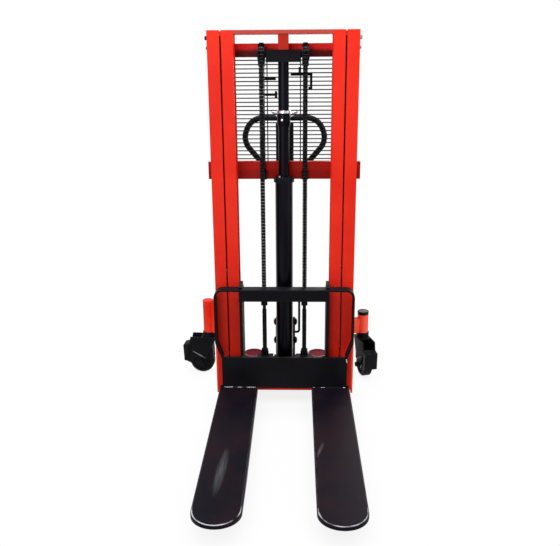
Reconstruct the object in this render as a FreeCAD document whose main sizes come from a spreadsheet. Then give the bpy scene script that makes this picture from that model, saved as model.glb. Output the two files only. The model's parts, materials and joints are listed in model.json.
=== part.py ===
import FreeCAD, Part
import math
import os
import re
import Sketcher

# Hand pallet stacker, millimetres, +Z up, forks toward -Y, operator side toward +Y.
# Drawn about the mast's centre line; the files are moved sideways by mast_x, so that the origin
# lies on the floor in the middle of the footprint.

# Driving sizes: name, value and what it measures.
SIZES = {
    # Mast
    "mast_x": (31, "mast centre line to the right of the middle of the footprint"),
    "mast_y": (300, "mast front face behind the middle of the footprint"),
    "mast_height": (1515, "floor to the tops of both mast stages"),
    "mast_half_width": (284, "centre line to the outside of an outer column"),
    "column_foot": (55, "floor to the foot of an outer column"),
    "channel_depth": (90, "front to back of an outer column"),
    "channel_wall": (8, "flange and web of both channels"),
    "outer_flange": (47, "width of an outer column"),
    "inner_flange": (45, "width of an inner column"),
    "stage_gap": (6, "side gap between outer and inner column"),
    "stage_play": (0.5, "inner column set back from the outer faces"),
    "inner_foot": (85, "floor to the foot of an inner column"),
    "beam_depth": (30, "front to back of the rear beams"),
    "beam_wall": (4, "wall of the rear beams"),
    "top_beam_drop": (95, "top beam's underside below the mast top"),
    "top_beam_height": (50, "height of the top beam"),
    "mid_beam_drop": (565, "middle beam's underside below the mast top"),
    "mid_beam_height": (70, "height of the middle beam"),
    "top_beam_ear": (8, "top beam's ear outside the column"),
    "mid_beam_ear": (22, "middle beam's ear outside the column"),
    "top_plate_thick": (14, "mast top plate"),
    "stub_width": (40, "post between top plate and crosshead"),
    "tie_foot": (110, "floor to the lower tie of the inner mast"),
    "tie_height": (50, "height of the lower tie"),
    "tie_thick": (11, "front to back of the lower tie"),
    "pad_height": (40, "nylon guide pad"),
    "pad_drop": (20, "guide pad below the mast top"),
    # Rollers
    "roller_play": (0.3, "roller to flange, each side"),
    "roller_width": (30, "tread of a mast or carriage roller"),
    "roller_seat": (2, "boss between roller and its plate"),
    "roller_axle": (12.5, "radius of a roller stub"),
    "roller_hub": (20, "radius of a roller's raised hub"),
    "roller_dish": (3, "depth of the dished roller face"),
    "running_fit": (0.05, "radial clearance of a turning fit"),
    "mast_roller_low": (200, "floor to the lower mast roller"),
    "mast_roller_high": (560, "floor to the upper mast roller"),
    "carriage_roller_low": (170, "floor to the lower carriage roller"),
    "carriage_roller_high": (480, "floor to the upper carriage roller"),
    # Lift cylinder
    "cylinder_y": (42, "cylinder and sheave axis behind the mast front"),
    "barrel_radius": (35, "outside of the barrel"),
    "barrel_wall": (7, "wall of the barrel"),
    "barrel_floor": (15, "closed end of the barrel"),
    "stroke_short": (735, "mast height less the travel of the piston rod"),
    "piston_length": (30, "piston on the foot of the rod"),
    "stroke_spare": (45, "barrel length beyond the stroke"),
    "gland_radius": (40.5, "outside of the gland nut"),
    "gland_height": (18, "height of the gland nut"),
    "rod_radius": (21, "outside of the piston rod"),
    # Chains and crosshead
    "sheave_drop": (88, "sheave axis below the mast top"),
    "chain_radius": (40, "sheave axis to the middle of the chain"),
    "chain_x": (83, "centre line to a chain"),
    "chain_pitch": (12.7, "pin to pin along a chain"),
    "chain_width": (18, "over the outer link plates"),
    "chain_core": (10, "over the inner link"),
    "chain_thick": (9, "height of a link plate"),
    "link_play": (0.1, "inner link to outer plate"),
    "sheave_lip": (5, "sheave flange above the chain seat"),
    "sheave_flange": (3, "thickness of a sheave flange"),
    "sheave_play": (0.5, "chain to sheave"),
    "sheave_axle": (10, "radius of the crosshead pins"),
    "crosshead_half": (66, "centre line to the end of the crosshead block"),
    "crosshead_drop": (114, "crosshead's underside below the mast top"),
    "crosshead_height": (44, "height of the crosshead block"),
    "crosshead_depth": (46, "front to back of the crosshead block"),
    "washer_thick": (3, "end washer of the crosshead pins"),
    "washer_radius": (15, "radius of the end washers"),
    "rear_anchor_rise": (35, "fixed end of the rear chains above the middle beam's foot"),
    "anchor_width": (26, "fixed chain clevis"),
    "anchor_rod": (7, "radius of a front chain anchor rod"),
    "anchor_rod_top": (440, "floor to the top of an anchor rod"),
    "anchor_nut": (14, "radius of an anchor nut"),
    "anchor_nut_height": (24, "height of an anchor nut"),
    "clevis_height": (16, "clevis on an anchor rod"),
    # Carriage and forks
    "upright_gap": (2, "upright to inner column"),
    "upright_thick": (12, "carriage upright"),
    "upright_foot": (92, "floor to the foot of an upright"),
    "upright_rise": (14, "top of an upright above the hoop"),
    "upright_front": (33, "upright front edge before the mast front"),
    "upright_rear": (70, "upright rear edge behind the mast front"),
    "upright_hook": (40, "hook at the top of an upright"),
    "hook_slope": (40, "height of the hook's sloped back"),
    "plate_thick": (12, "fork plate and cross plate"),
    "fork_plate_half": (262, "centre line to the end of the fork plate"),
    "fork_plate_top": (222, "floor to the top of the fork plate"),
    "cross_plate_foot": (470, "floor to the cross plate"),
    "hoop_half": (287, "centre line to the outside of the hoop"),
    "hoop_top": (522, "floor to the top of the hoop"),
    "hoop_bar": (8, "thickness of the hoop bar"),
    "hoop_depth": (45, "front to back of the hoop bar"),
    "hoop_front": (52, "hoop front edge before the mast front"),
    "hoop_shoulder": (290, "floor to the bend of the hoop sides"),
    "hoop_round": (36, "outer corner radius of the hoop"),
    "shelf_top": (215, "floor to the chain anchor shelf"),
    "shelf_thick": (15, "chain anchor shelf"),
    "shelf_depth": (50, "front to back of the anchor shelf"),
    "shelf_notch": (34, "depth of the shelf's notch for the barrel"),
    "shelf_half": (115, "centre line to the end of the anchor shelf"),
    "fork_top": (85, "floor to the fork's load face"),
    "fork_width": (160, "width of a fork"),
    "fork_x": (195, "centre line to the middle of a fork"),
    "fork_reach": (945, "fork tip before the mast front"),
    "fork_heel": (20, "fork heel before the mast front"),
    "heel_rebate": (2, "rebate in the fork's heel for the fork plate"),
    "fork_plate": (8, "fork top wall"),
    "fork_side": (6, "fork side wall"),
    "fork_skirt": (32, "height of the fork sides"),
    "fork_tip": (13, "height of the fork at its nose"),
    "fork_round": (7, "rolled top edge of a fork"),
    "fork_ramp": (260, "length of the fork's sloped underside"),
    # Chassis
    "base_foot": (47, "floor to the base beam"),
    "base_height": (30, "height of the base beam"),
    "base_wall": (6, "wall of the base beam"),
    "leg_width": (80, "width of a straddle leg"),
    "leg_foot": (24, "floor to a straddle leg"),
    "leg_top": (70, "floor to the top of a straddle leg"),
    "leg_wall": (5, "wall of a straddle leg"),
    "leg_short": (90, "leg tip behind the fork tip"),
    "load_wheel_radius": (36, "radius of a load wheel"),
    "load_wheel_width": (60, "tread of a load wheel"),
    "load_wheel_set": (48, "load wheel axle behind the leg tip"),
    "load_axle": (10, "radius of a load wheel axle"),
    "tray_foot": (50, "floor to the rear base plate"),
    "tray_thick": (10, "rear base plate"),
    "tray_reach": (335, "rear base plate behind the mast front"),
    "tray_half": (215, "centre line to the side of the rear base plate"),
    "tray_round": (40, "rear corners of the base plate"),
    "cap_x": (150, "centre line to a round base cap"),
    "cap_y": (285, "round base cap behind the mast front"),
    "cap_radius": (45, "radius of a round base cap"),
    "cap_height": (14, "height of a round base cap"),
    "cap_chamfer": (4, "chamfered edge of a round base cap"),
    "cap_post": (24, "post under a round base cap"),
    "cap_post_radius": (38, "radius of that post"),
    # Casters
    "stem_out": (74, "side of the mast to a caster stem"),
    "stem_y": (300, "caster stem behind the mast front"),
    "tube_radius": (25, "outside of a stem tube"),
    "tube_foot": (203, "floor to a stem tube"),
    "tube_top_right": (290, "floor to the top of the right stem tube"),
    "tube_top_left": (356, "floor to the top of the left stem tube"),
    "tube_lid": (5, "closed top of the left stem tube"),
    "stem_radius": (12, "radius of a caster stem"),
    "stem_cap": (14, "height of a stem tube's cap"),
    "side_plate": (8, "caster side plate and gusset"),
    "side_plate_foot": (35, "floor to the side plate"),
    "side_plate_rear": (325, "side plate behind the mast front"),
    "caster_sweep": (136, "room that a swivelling caster needs around its stem"),
    "gusset_lap": (7, "gusset's lap into its stem tube"),
    "gusset_drop": (18, "gusset below the top of its stem tube"),
    "wheel_radius": (56, "radius of a caster wheel"),
    "wheel_width": (42, "tread of a caster wheel"),
    "wheel_hub": (22, "radius of a caster wheel's hub"),
    "wheel_rim": (42, "radius under the tyre"),
    "wheel_dish": (6, "depth of the wheel's dished face"),
    "wheel_round": (6, "tread corner of a caster wheel"),
    "caster_trail": (35, "caster axle behind its stem"),
    "caster_axle": (7, "radius of a caster axle"),
    "yoke_gap": (4, "wheel to yoke side"),
    "yoke_wall": (5, "yoke side plates"),
    "yoke_half": (30, "half length of the yoke crown"),
    "crown_foot": (170, "floor to the yoke crown"),
    "crown_thick": (10, "yoke crown"),
    "bearing_radius": (29, "swivel bearing under the stem tube"),
    "swivel_play": (0.3, "swivel bearing to stem tube"),
    "pedal_pivot": (134, "floor to the brake pedal's pivot"),
    "pedal_out": (50, "brake pedal pivot behind the caster axle"),
    "pedal_pin": (5, "radius of a brake pedal's pivot"),
    "pedal_length": (33, "reach of a brake pedal"),
    "pedal_heel": (18, "heel of a brake pedal's block behind its pivot"),
    "pedal_half": (30, "half width of a brake pedal's tread"),
    "pedal_thick": (9, "tread of a brake pedal"),
    "pedal_boss": (9, "radius of a brake pedal's boss"),
    "pedal_drop": (74, "depth of a brake pedal's block"),
    # Pump and tiller
    "pump_y": (165, "hand pump behind the mast front"),
    "pump_base_half": (52, "half width of the pump block"),
    "pump_base_depth": (110, "front to back of the pump block"),
    "pump_base_height": (60, "height of the pump block"),
    "pump_radius": (28, "radius of the pump body"),
    "pump_height": (100, "height of the pump body"),
    "lug_inside": (34, "centre line to a tiller lug"),
    "lug_thick": (10, "tiller lugs"),
    "lug_half": (22, "half depth of a tiller lug"),
    "tiller_y": (250, "tiller axis behind the mast front"),
    "tiller_z": (270, "floor to the tiller pivot"),
    "link_z": (180, "floor to the pump link pin"),
    "tiller_pin": (10, "radius of the tiller pin"),
    "pin_head": (5, "pin head thickness"),
    "pin_head_radius": (15, "radius of the pin heads"),
    "tiller_eye": (21, "radius of the tiller's eye"),
    "eye_play": (0.5, "tiller eye to its lugs"),
    "tiller_radius": (18, "radius of the tiller tube"),
    "spine_foot": (925, "floor to the tiller's spine"),
    "spine_top": (1162, "floor to the top of the spine"),
    "spine_width": (74, "width of the spine"),
    "spine_depth": (24, "front to back of the spine"),
    "loop_radius": (12, "radius of the handle tube"),
    "loop_foot": (950, "floor to the foot of the handle loop"),
    "loop_start": (60, "half width at the foot of the handle loop"),
    "loop_wide": (1086, "floor to the loop's outer corner"),
    "loop_wide_half": (177, "half width to the loop's outer corner"),
    "loop_top": (1180, "floor to the handle's top bar"),
    "loop_top_half": (141, "half width to the ends of the top bar"),
    "loop_bend": (72, "bend radius of the handle's corners"),
    "loop_foot_bend": (35, "bend radius at the foot of the handle loop"),
    "lever_width": (60, "control lever"),
    "lever_height": (42, "height of the control lever"),
    "lever_thick": (7, "thickness of the control lever"),
    "lever_pin": (4, "radius of the control lever's pivot"),
    "lever_boss": (8, "radius of the control lever's boss"),
    "lever_drop": (12, "control lever pivot below the spine top"),
    "lever_reach": (14, "control lever pivot before the spine"),
    # Release gear and guard
    "release_x": (84.5, "centre line to the release rod, behind a chain"),
    "release_low": (62, "centre line to the lower run of the release rod"),
    "release_y": (136, "release rod behind the mast front"),
    "release_rod": (5, "radius of the release rod"),
    "release_bend": (10, "bend radius of the release rod"),
    "release_jog": (432, "floor to the release rod's sideways step"),
    "release_toe": (266, "floor to the release rod's toe"),
    "release_rise": (12, "lift of the release rod"),
    "release_lever_drop": (160, "release lever below the mast top"),
    "release_bar": (5, "radius of the release lever"),
    "release_inward": (58.5, "release lever toward the centre line"),
    "release_outward": (27.5, "release lever away from the centre line"),
    "grip_drop": (52, "height of the release grip"),
    "grip_reach": (16, "release grip's return bars"),
    "latch_x": (62, "centre line to the latch pin on the release lever"),
    "latch_rise": (28, "height of the latch pin"),
    "guide_height": (24, "release rod guide"),
    "guide_radius": (11, "outside of the release rod guide"),
    "valve_radius": (12, "release valve at the rod's toe"),
    "valve_x": (12, "centre line to the release valve"),
    "valve_play": (0.4, "rod's toe to the valve's slot"),
    "valve_horn": (6, "valve head above the lifted toe"),
    "wire_radius": (2.2, "guard wires"),
    "wire_margin": (11.6, "beam to the nearest guard wire"),
    "wire_half": (262, "half length of the cross wires"),
    "upwire_x": (65, "centre line to an upright guard wire"),
    "weld_sink": (0.6, "depth that crossing wires are pressed together"),
    "peg_radius": (5, "guard pegs"),
    "peg_high_drop": (81, "upper guard peg below the top beam"),
    "peg_low_drop": (140, "lower guard peg below the top beam"),
    "peg_out": (10, "guard peg outside its wire"),
    "peg_in": (34, "guard peg inside its wire"),
    "peg_tee": (26, "length of the lower peg's cross end"),
    "overrun": (20, "cutting tools run past the faces they cut"),
}
WIRES = 25
# Length that a link plate adds beyond its pitch, as a share of its height
LINK_END_SHARE = 0.8
# Turn of each caster about its stem, as shares of a full turn, from the wheel lying toward +X
CASTER_TURN_SHARES = {"left": 35 / 72, "right": -5 / 24}
FULL_TURN_DEGREES = 360

doc = FreeCAD.newDocument("hand_pallet_stacker")
sheet = doc.addObject("Spreadsheet::Sheet", "Sizes")
for row, (alias, (value, words)) in enumerate(SIZES.items(), start=1):
    sheet.set("A%d" % row, words)
    sheet.set("B%d" % row, str(value))
    sheet.setAlias("B%d" % row, alias)
doc.recompute()

nodes = {}
SIDES = {"left": -1, "right": 1}


def size(name):
    """A driving size in millimetres."""
    return float(sheet.get(name))


def cells(formula):
    """A formula of sheet names, as references to the sheet's cells."""
    return re.sub(r"[a-z_]+", lambda word: "Sizes." + word.group(), str(formula))


def bind(thing, prop, formula):
    thing.setExpression(prop, cells(formula))


def place(thing, x=0, y=0, z=0):
    bind(thing, "Placement.Base.x", x)
    bind(thing, "Placement.Base.y", y)
    bind(thing, "Placement.Base.z", z)
    return thing


def node(label, thing):
    """Name a finished sub-part; its label is the name of its file."""
    thing.Label = label
    nodes[label] = thing
    return thing


def box(x, y, z):
    """A block between two formulas on each axis."""
    block = doc.addObject("Part::Box", "Block")
    for prop, (low, high) in zip(("Length", "Width", "Height"), (x, y, z)):
        bind(block, prop, "(%s) - (%s)" % (high, low))
    return place(block, x[0], y[0], z[0])


TURN_TO = {
    "x": FreeCAD.Rotation(FreeCAD.Vector(0, 1, 0), 90),
    "y": FreeCAD.Rotation(FreeCAD.Vector(1, 0, 0), -90),
    "z": FreeCAD.Rotation(),
}


def rod(axis, radius, span, x=0, y=0, z=0):
    """A round bar along an axis; span replaces the place along that axis."""
    bar = doc.addObject("Part::Cylinder", "Bar")
    bar.Placement.Rotation = TURN_TO[axis]
    bind(bar, "Radius", radius)
    bind(bar, "Height", "(%s) - (%s)" % (span[1], span[0]))
    at = {"x": x, "y": y, "z": z}
    at[axis] = span[0]
    return place(bar, **at)


def cut(base, *tools):
    for tool in tools:
        result = doc.addObject("Part::Cut", "Cut")
        result.Base = base
        result.Tool = tool
        base = result
    return base


def fuse(*pieces):
    result = doc.addObject("Part::MultiFuse", "Fuse")
    result.Shapes = list(pieces)
    result.Refine = True
    return result


def group(*pieces):
    """Separate solids that share one node."""
    result = doc.addObject("Part::Compound", "Group")
    result.Links = list(pieces)
    return result


def mirror(source):
    """The same piece on the other side of the centre plane."""
    result = doc.addObject("Part::Mirroring", "Mirror")
    result.Source = source
    result.Normal = FreeCAD.Vector(1, 0, 0)
    return result


def both_sides(label, right):
    node(label + "_right", right)
    node(label + "_left", mirror(right))


def plane(body, role):
    return next(item for item in body.Origin.OriginFeatures if item.Role == role)


def outline(body, role, points):
    """A closed sketch through points, each held from the origin by formulas."""
    sketch = body.newObject("Sketcher::SketchObject", "Outline")
    sketch.AttachmentSupport = [(plane(body, role), "")]
    sketch.MapMode = "FlatFace"
    corners = [FreeCAD.Vector(math.cos(turn), math.sin(turn), 0)
               for turn in (2 * math.pi * step / len(points) for step in range(len(points)))]
    for start, end in zip(corners, corners[1:] + corners[:1]):
        sketch.addGeometry(Part.LineSegment(start, end))
    for line in range(len(points)):
        sketch.addConstraint(Sketcher.Constraint("Coincident", line, 2, (line + 1) % len(points), 1))
    for line, point in enumerate(points):
        drawn = (corners[line].x, corners[line].y)
        for kind, formula, start in zip(("DistanceX", "DistanceY"), point, drawn):
            held = sketch.addConstraint(Sketcher.Constraint(kind, -1, 1, line, 1, start))
            bind(sketch, "Constraints[%d]" % held, formula)
    return sketch


def padded(role, points, length):
    """A sketched outline pulled out of its plane, toward -Y on the XZ plane."""
    body = doc.addObject("PartDesign::Body", "Profile")
    pad = body.newObject("PartDesign::Pad", "Pad")
    pad.Profile = outline(body, role, points)
    bind(pad, "Length", length)
    body.Tip = pad
    return body


def turned(role, axis, points):
    """A sketched half section turned about a sketch axis."""
    body = doc.addObject("PartDesign::Body", "Turning")
    sketch = outline(body, role, points)
    revolution = body.newObject("PartDesign::Revolution", "Revolution")
    revolution.Profile = sketch
    revolution.ReferenceAxis = (sketch, [axis])
    revolution.Angle = 360
    body.Tip = revolution
    return body


def rounded(body, radius, chosen):
    """Round the edges of a body's last feature for which chosen(edge) is true."""
    doc.recompute()
    base = body.Tip
    edges = ["Edge%d" % number for number, edge in enumerate(base.Shape.Edges, start=1) if chosen(edge)]
    fillet = body.newObject("PartDesign::Fillet", "Round")
    fillet.Base = (base, edges)
    bind(fillet, "Radius", radius)
    body.Tip = fillet
    return body


def edge_runs(axis):
    """Chooser of straight edges along an axis."""
    return lambda edge: abs(edge.tangentAt(edge.FirstParameter).dot(axis)) > 1 - 1e-6


# Places that several sub-parts share
INNER_OUT = "(mast_half_width - outer_flange - stage_gap)"
INNER_IN = "(mast_half_width - outer_flange - stage_gap - inner_flange)"
INNER_FRONT = "(mast_y + stage_play)"
INNER_REAR = "(mast_y + channel_depth - stage_play)"
MAST_REAR = "(mast_y + channel_depth)"
BEAM_REAR = "(mast_y + channel_depth + beam_depth)"
MID_Y = "(mast_y + channel_depth / 2)"
LIFT_Y = "(mast_y + cylinder_y)"
BASE_TOP = "(base_foot + base_height)"
BARREL_FLOOR = "(base_foot + base_height + barrel_floor)"
BARREL_TOP = "(%s + piston_length + mast_height - stroke_short + stroke_spare)" % BARREL_FLOOR
UPRIGHT_TOP = "(hoop_top + upright_rise)"
UPRIGHT_OUT = "(mast_half_width - outer_flange - stage_gap - inner_flange - upright_gap)"
UPRIGHT_IN = "(mast_half_width - outer_flange - stage_gap - inner_flange - upright_gap - upright_thick)"
CARRIAGE_FACE = "(mast_y - upright_front)"
TRAY_TOP = "(tray_foot + tray_thick)"
TOP_BEAM_FOOT = "(mast_height - top_beam_drop)"
MID_BEAM_FOOT = "(mast_height - mid_beam_drop)"
SHEAVE_Z = "(mast_height - sheave_drop)"
CROSSHEAD_FOOT = "(mast_height - crosshead_drop)"
ANCHOR_TOP = "(%s + rear_anchor_rise)" % MID_BEAM_FOOT
LEG_TIP = "(mast_y - fork_reach + leg_short)"
TILLER_Y = "(mast_y + tiller_y)"
STEM_X = "(mast_half_width + stem_out)"


def channel(x_out, flange, front, rear, foot):
    """A mast channel that opens toward the centre line."""
    x_in = "(%s - %s)" % (x_out, flange)
    web = "(%s - channel_wall)" % x_out
    points = [(x_in, front), (x_out, front), (x_out, rear), (x_in, rear),
              (x_in, rear + " - channel_wall"), (web, rear + " - channel_wall"),
              (web, front + " + channel_wall"), (x_in, front + " + channel_wall")]
    return place(padded("XY_Plane", points, "mast_height - %s" % foot), z=foot)


def outer_mast():
    right = channel("mast_half_width", "outer_flange", "mast_y", MAST_REAR, "column_foot")
    both_sides("outer_column", right)
    for name, foot in (("top_beam", TOP_BEAM_FOOT), ("mid_beam", MID_BEAM_FOOT)):
        top = "%s + %s_height" % (foot, name)
        bar = box(("-mast_half_width", "mast_half_width"), (MAST_REAR, BEAM_REAR), (foot, top))
        hollow = box(("-mast_half_width - overrun", "mast_half_width + overrun"),
                     (MAST_REAR + " + beam_wall", BEAM_REAR + " - beam_wall"),
                     (foot + " + beam_wall", top + " - beam_wall"))
        reach = "mast_half_width + %s_ear" % name
        ears = [box(span, (MAST_REAR, MAST_REAR + " + beam_wall * 2"), (foot, top))
                for span in (("mast_half_width", reach), ("-(%s)" % reach, "-mast_half_width"))]
        node(name, fuse(cut(bar, hollow), *ears))
    beam = box(("channel_wall - mast_half_width", "mast_half_width - channel_wall"),
               ("mast_y + channel_wall", MAST_REAR + " - channel_wall"), ("base_foot", BASE_TOP))
    hollow = box(("-mast_half_width", "mast_half_width"),
                 ("mast_y + channel_wall + base_wall", MAST_REAR + " - channel_wall - base_wall"),
                 ("base_foot + base_wall", BASE_TOP + " - base_wall"))
    node("base_beam", cut(beam, hollow))
    pads = [box(span, ("mast_y + channel_wall + roller_play", MAST_REAR + " - channel_wall - roller_play"),
                ("mast_height - pad_drop - pad_height", "mast_height - pad_drop"))
            for span in ((INNER_OUT + " + roller_play", "mast_half_width - channel_wall"),
                         ("channel_wall - mast_half_width", "-" + INNER_OUT + " - roller_play"))]
    node("mast_guide_pads", group(*pads))


def roller_pair(x_start, radius, height):
    """Two dished rollers on one axis, one on each side of the mast."""
    face = "(%s + roller_seat)" % x_start
    far = "(%s + roller_seat + roller_width)" % x_start
    bore = "roller_axle + running_fit"
    rim = "%s - roller_dish * 2" % radius
    points = [(face, bore), (far, bore), (far, "roller_hub"), (far + " - roller_dish", "roller_hub"),
              (far + " - roller_dish", rim), (far, rim), (far, radius), (face, radius)]
    right = place(turned("XY_Plane", "H_Axis", points), y=MID_Y, z=height)
    return group(right, mirror(right))


def roller_stub(x_start, height):
    """The fixed stub and boss that carry a roller."""
    face = x_start + " + roller_seat"
    stub = rod("x", "roller_axle", (x_start, face + " + roller_width"), y=MID_Y, z=height)
    boss = rod("x", "roller_hub", (x_start, face + " - roller_play"), y=MID_Y, z=height)
    return [stub, boss]


def inner_mast():
    right = channel(INNER_OUT, "inner_flange", INNER_FRONT, INNER_REAR, "inner_foot")
    stubs = roller_stub(INNER_OUT, "mast_roller_low") + roller_stub(INNER_OUT, "mast_roller_high")
    both_sides("inner_column", fuse(right, *stubs))
    radius = "(channel_depth / 2 - channel_wall - roller_play)"
    node("mast_rollers_low", roller_pair(INNER_OUT, radius, "mast_roller_low"))
    node("mast_rollers_high", roller_pair(INNER_OUT, radius, "mast_roller_high"))
    plate = box(("-" + INNER_IN, INNER_IN), (INNER_FRONT, INNER_REAR),
                ("mast_height - top_plate_thick", "mast_height"))
    post = box(("-stub_width / 2", "stub_width / 2"),
               (LIFT_Y + " - stub_width / 2", LIFT_Y + " + stub_width / 2"),
               (CROSSHEAD_FOOT + " + crosshead_height", "mast_height - top_plate_thick"))
    node("mast_top_plate", fuse(plate, post))
    node("mast_lower_tie", box(("-" + INNER_IN, INNER_IN), (INNER_REAR + " - tie_thick", INNER_REAR),
                               ("tie_foot", "tie_foot + tie_height")))


def lift_cylinder():
    tube = rod("z", "barrel_radius", (BASE_TOP, BARREL_TOP), y=LIFT_Y)
    bore = rod("z", "barrel_radius - barrel_wall", (BARREL_FLOOR, BARREL_TOP + " + overrun"), y=LIFT_Y)
    node("cylinder_barrel", cut(tube, bore))
    gland_top = BARREL_TOP + " + gland_height"
    nut = rod("z", "gland_radius", (BARREL_TOP, gland_top), y=LIFT_Y)
    hole = rod("z", "rod_radius + running_fit",
               (BARREL_TOP + " - overrun", gland_top + " + overrun"), y=LIFT_Y)
    node("cylinder_gland", cut(nut, hole))
    shaft = rod("z", "rod_radius", (BARREL_FLOOR, CROSSHEAD_FOOT), y=LIFT_Y)
    piston = rod("z", "barrel_radius - barrel_wall - running_fit",
                 (BARREL_FLOOR, BARREL_FLOOR + " + piston_length"), y=LIFT_Y)
    node("piston_rod", fuse(shaft, piston))


def crosshead():
    block = box(("-crosshead_half", "crosshead_half"),
                (LIFT_Y + " - crosshead_depth / 2", LIFT_Y + " + crosshead_depth / 2"),
                (CROSSHEAD_FOOT, CROSSHEAD_FOOT + " + crosshead_height"))
    far = "chain_x + chain_width / 2 + sheave_flange + sheave_play * 2"
    pin = rod("x", "sheave_axle", ("-(%s)" % far, far), y=LIFT_Y, z=SHEAVE_Z)
    washers = [rod("x", "washer_radius", span, y=LIFT_Y, z=SHEAVE_Z)
               for span in ((far, far + " + washer_thick"), ("-(%s) - washer_thick" % far, "-(%s)" % far))]
    node("crosshead", fuse(block, pin, *washers))
    seat = "(chain_radius - chain_thick / 2 - sheave_play)"
    lip = "(chain_radius - chain_thick / 2 + sheave_lip)"
    near = "chain_x - chain_width / 2 - sheave_flange - sheave_play"
    inner = "chain_x - chain_width / 2 - sheave_play"
    outer = "chain_x + chain_width / 2 + sheave_play"
    end = "chain_x + chain_width / 2 + sheave_flange + sheave_play"
    bore = "sheave_axle + running_fit"
    points = [(near, bore), (end, bore), (end, lip), (outer, lip),
              (outer, seat), (inner, seat), (inner, lip), (near, lip)]
    right = place(turned("XY_Plane", "H_Axis", points), y=LIFT_Y, z=SHEAVE_Z)
    both_sides("chain_sheave", right)


def link(outer, pitch):
    """One chain link about its middle, pins along X: an inner block or a pair of outer plates."""
    thick = size("chain_thick")
    core = size("chain_core")
    length = pitch + thick * LINK_END_SHARE
    spans = [(-core / 2, core / 2)]
    if outer:
        edge = size("chain_width") / 2
        inside = core / 2 + size("link_play")
        spans = [(-edge, -inside), (inside, edge)]
    return [Part.makeBox(high - low, thick, length, FreeCAD.Vector(low, -thick / 2, -length / 2))
            for low, high in spans]


def strand(foot, top, top_is_outer):
    """A straight run of links along Z between two heights."""
    end = size("chain_thick") * LINK_END_SHARE / 2
    count = round((top - foot - 2 * end) / size("chain_pitch"))
    pitch = (top - foot - 2 * end) / count
    links = []
    for step in range(count):
        outer = top_is_outer == ((count - 1 - step) % 2 == 0)
        for plate in link(outer, pitch):
            plate.translate(FreeCAD.Vector(0, 0, foot + end + pitch * (step + 1 / 2)))
            links.append(plate)
    return links


def wrap():
    """The links that lie on the upper half of a sheave, from the front over to the rear."""
    count = round(math.pi * size("chain_radius") / size("chain_pitch"))
    links = []
    for step in range(count):
        turn = 180 * (step + 1 / 2) / count
        for plate in link(step % 2 == 1, size("chain_pitch")):
            plate.translate(FreeCAD.Vector(0, -size("chain_radius"), 0))
            plate.rotate(FreeCAD.Vector(), FreeCAD.Vector(1, 0, 0), -turn)
            links.append(plate)
    return links, count % 2 == 0


def links_at(label, links, x, y, z=0):
    chain = doc.addObject("Part::Feature", "Links")
    chain.Shape = Part.makeCompound([plate.copy() for plate in links])
    chain.Placement.Base = FreeCAD.Vector(x, y, z)
    return node(label, chain)


def chains():
    axis_y = size("mast_y") + size("cylinder_y")
    front = axis_y - size("chain_radius")
    rear = axis_y + size("chain_radius")
    over, ends_outer = wrap()
    lap = size("chain_thick") * LINK_END_SHARE / 2
    axis_z = size("mast_height") - size("sheave_drop")
    top = axis_z + lap
    front_foot = size("anchor_rod_top") + size("clevis_height")
    rear_foot = size("mast_height") - size("mid_beam_drop") + size("rear_anchor_rise")
    wraps = []
    for side, sign in SIDES.items():
        x = sign * size("chain_x")
        links_at("chain_front_" + side, strand(front_foot, top, True), x, front)
        links_at("chain_rear_" + side, strand(rear_foot, top, not ends_outer), x, rear)
        for plate in over:
            moved = plate.copy()
            moved.translate(FreeCAD.Vector(x, 0, 0))
            wraps.append(moved)
    links_at("chain_wraps", wraps, 0, axis_y, axis_z)
    clevis = [box(("%s - anchor_width / 2" % x, "%s + anchor_width / 2" % x),
                  (LIFT_Y + " + chain_radius - chain_thick", MAST_REAR), (MID_BEAM_FOOT, ANCHOR_TOP))
              for x in ("chain_x", "-chain_x")]
    node("chain_anchors_rear", group(*clevis))
    rods = []
    for x in ("chain_x", "-chain_x"):
        at = {"x": x, "y": LIFT_Y + " - chain_radius"}
        bar = rod("z", "anchor_rod", ("shelf_top", "anchor_rod_top"), **at)
        nut = rod("z", "anchor_nut", ("shelf_top", "shelf_top + anchor_nut_height"), **at)
        fork = box(("%s - anchor_width / 2" % x, "%s + anchor_width / 2" % x),
                   (at["y"] + " - anchor_rod", at["y"] + " + anchor_rod"),
                   ("anchor_rod_top", "anchor_rod_top + clevis_height"))
        rods.append(fuse(bar, nut, fork))
    node("chain_anchor_rods", group(*rods))


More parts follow.
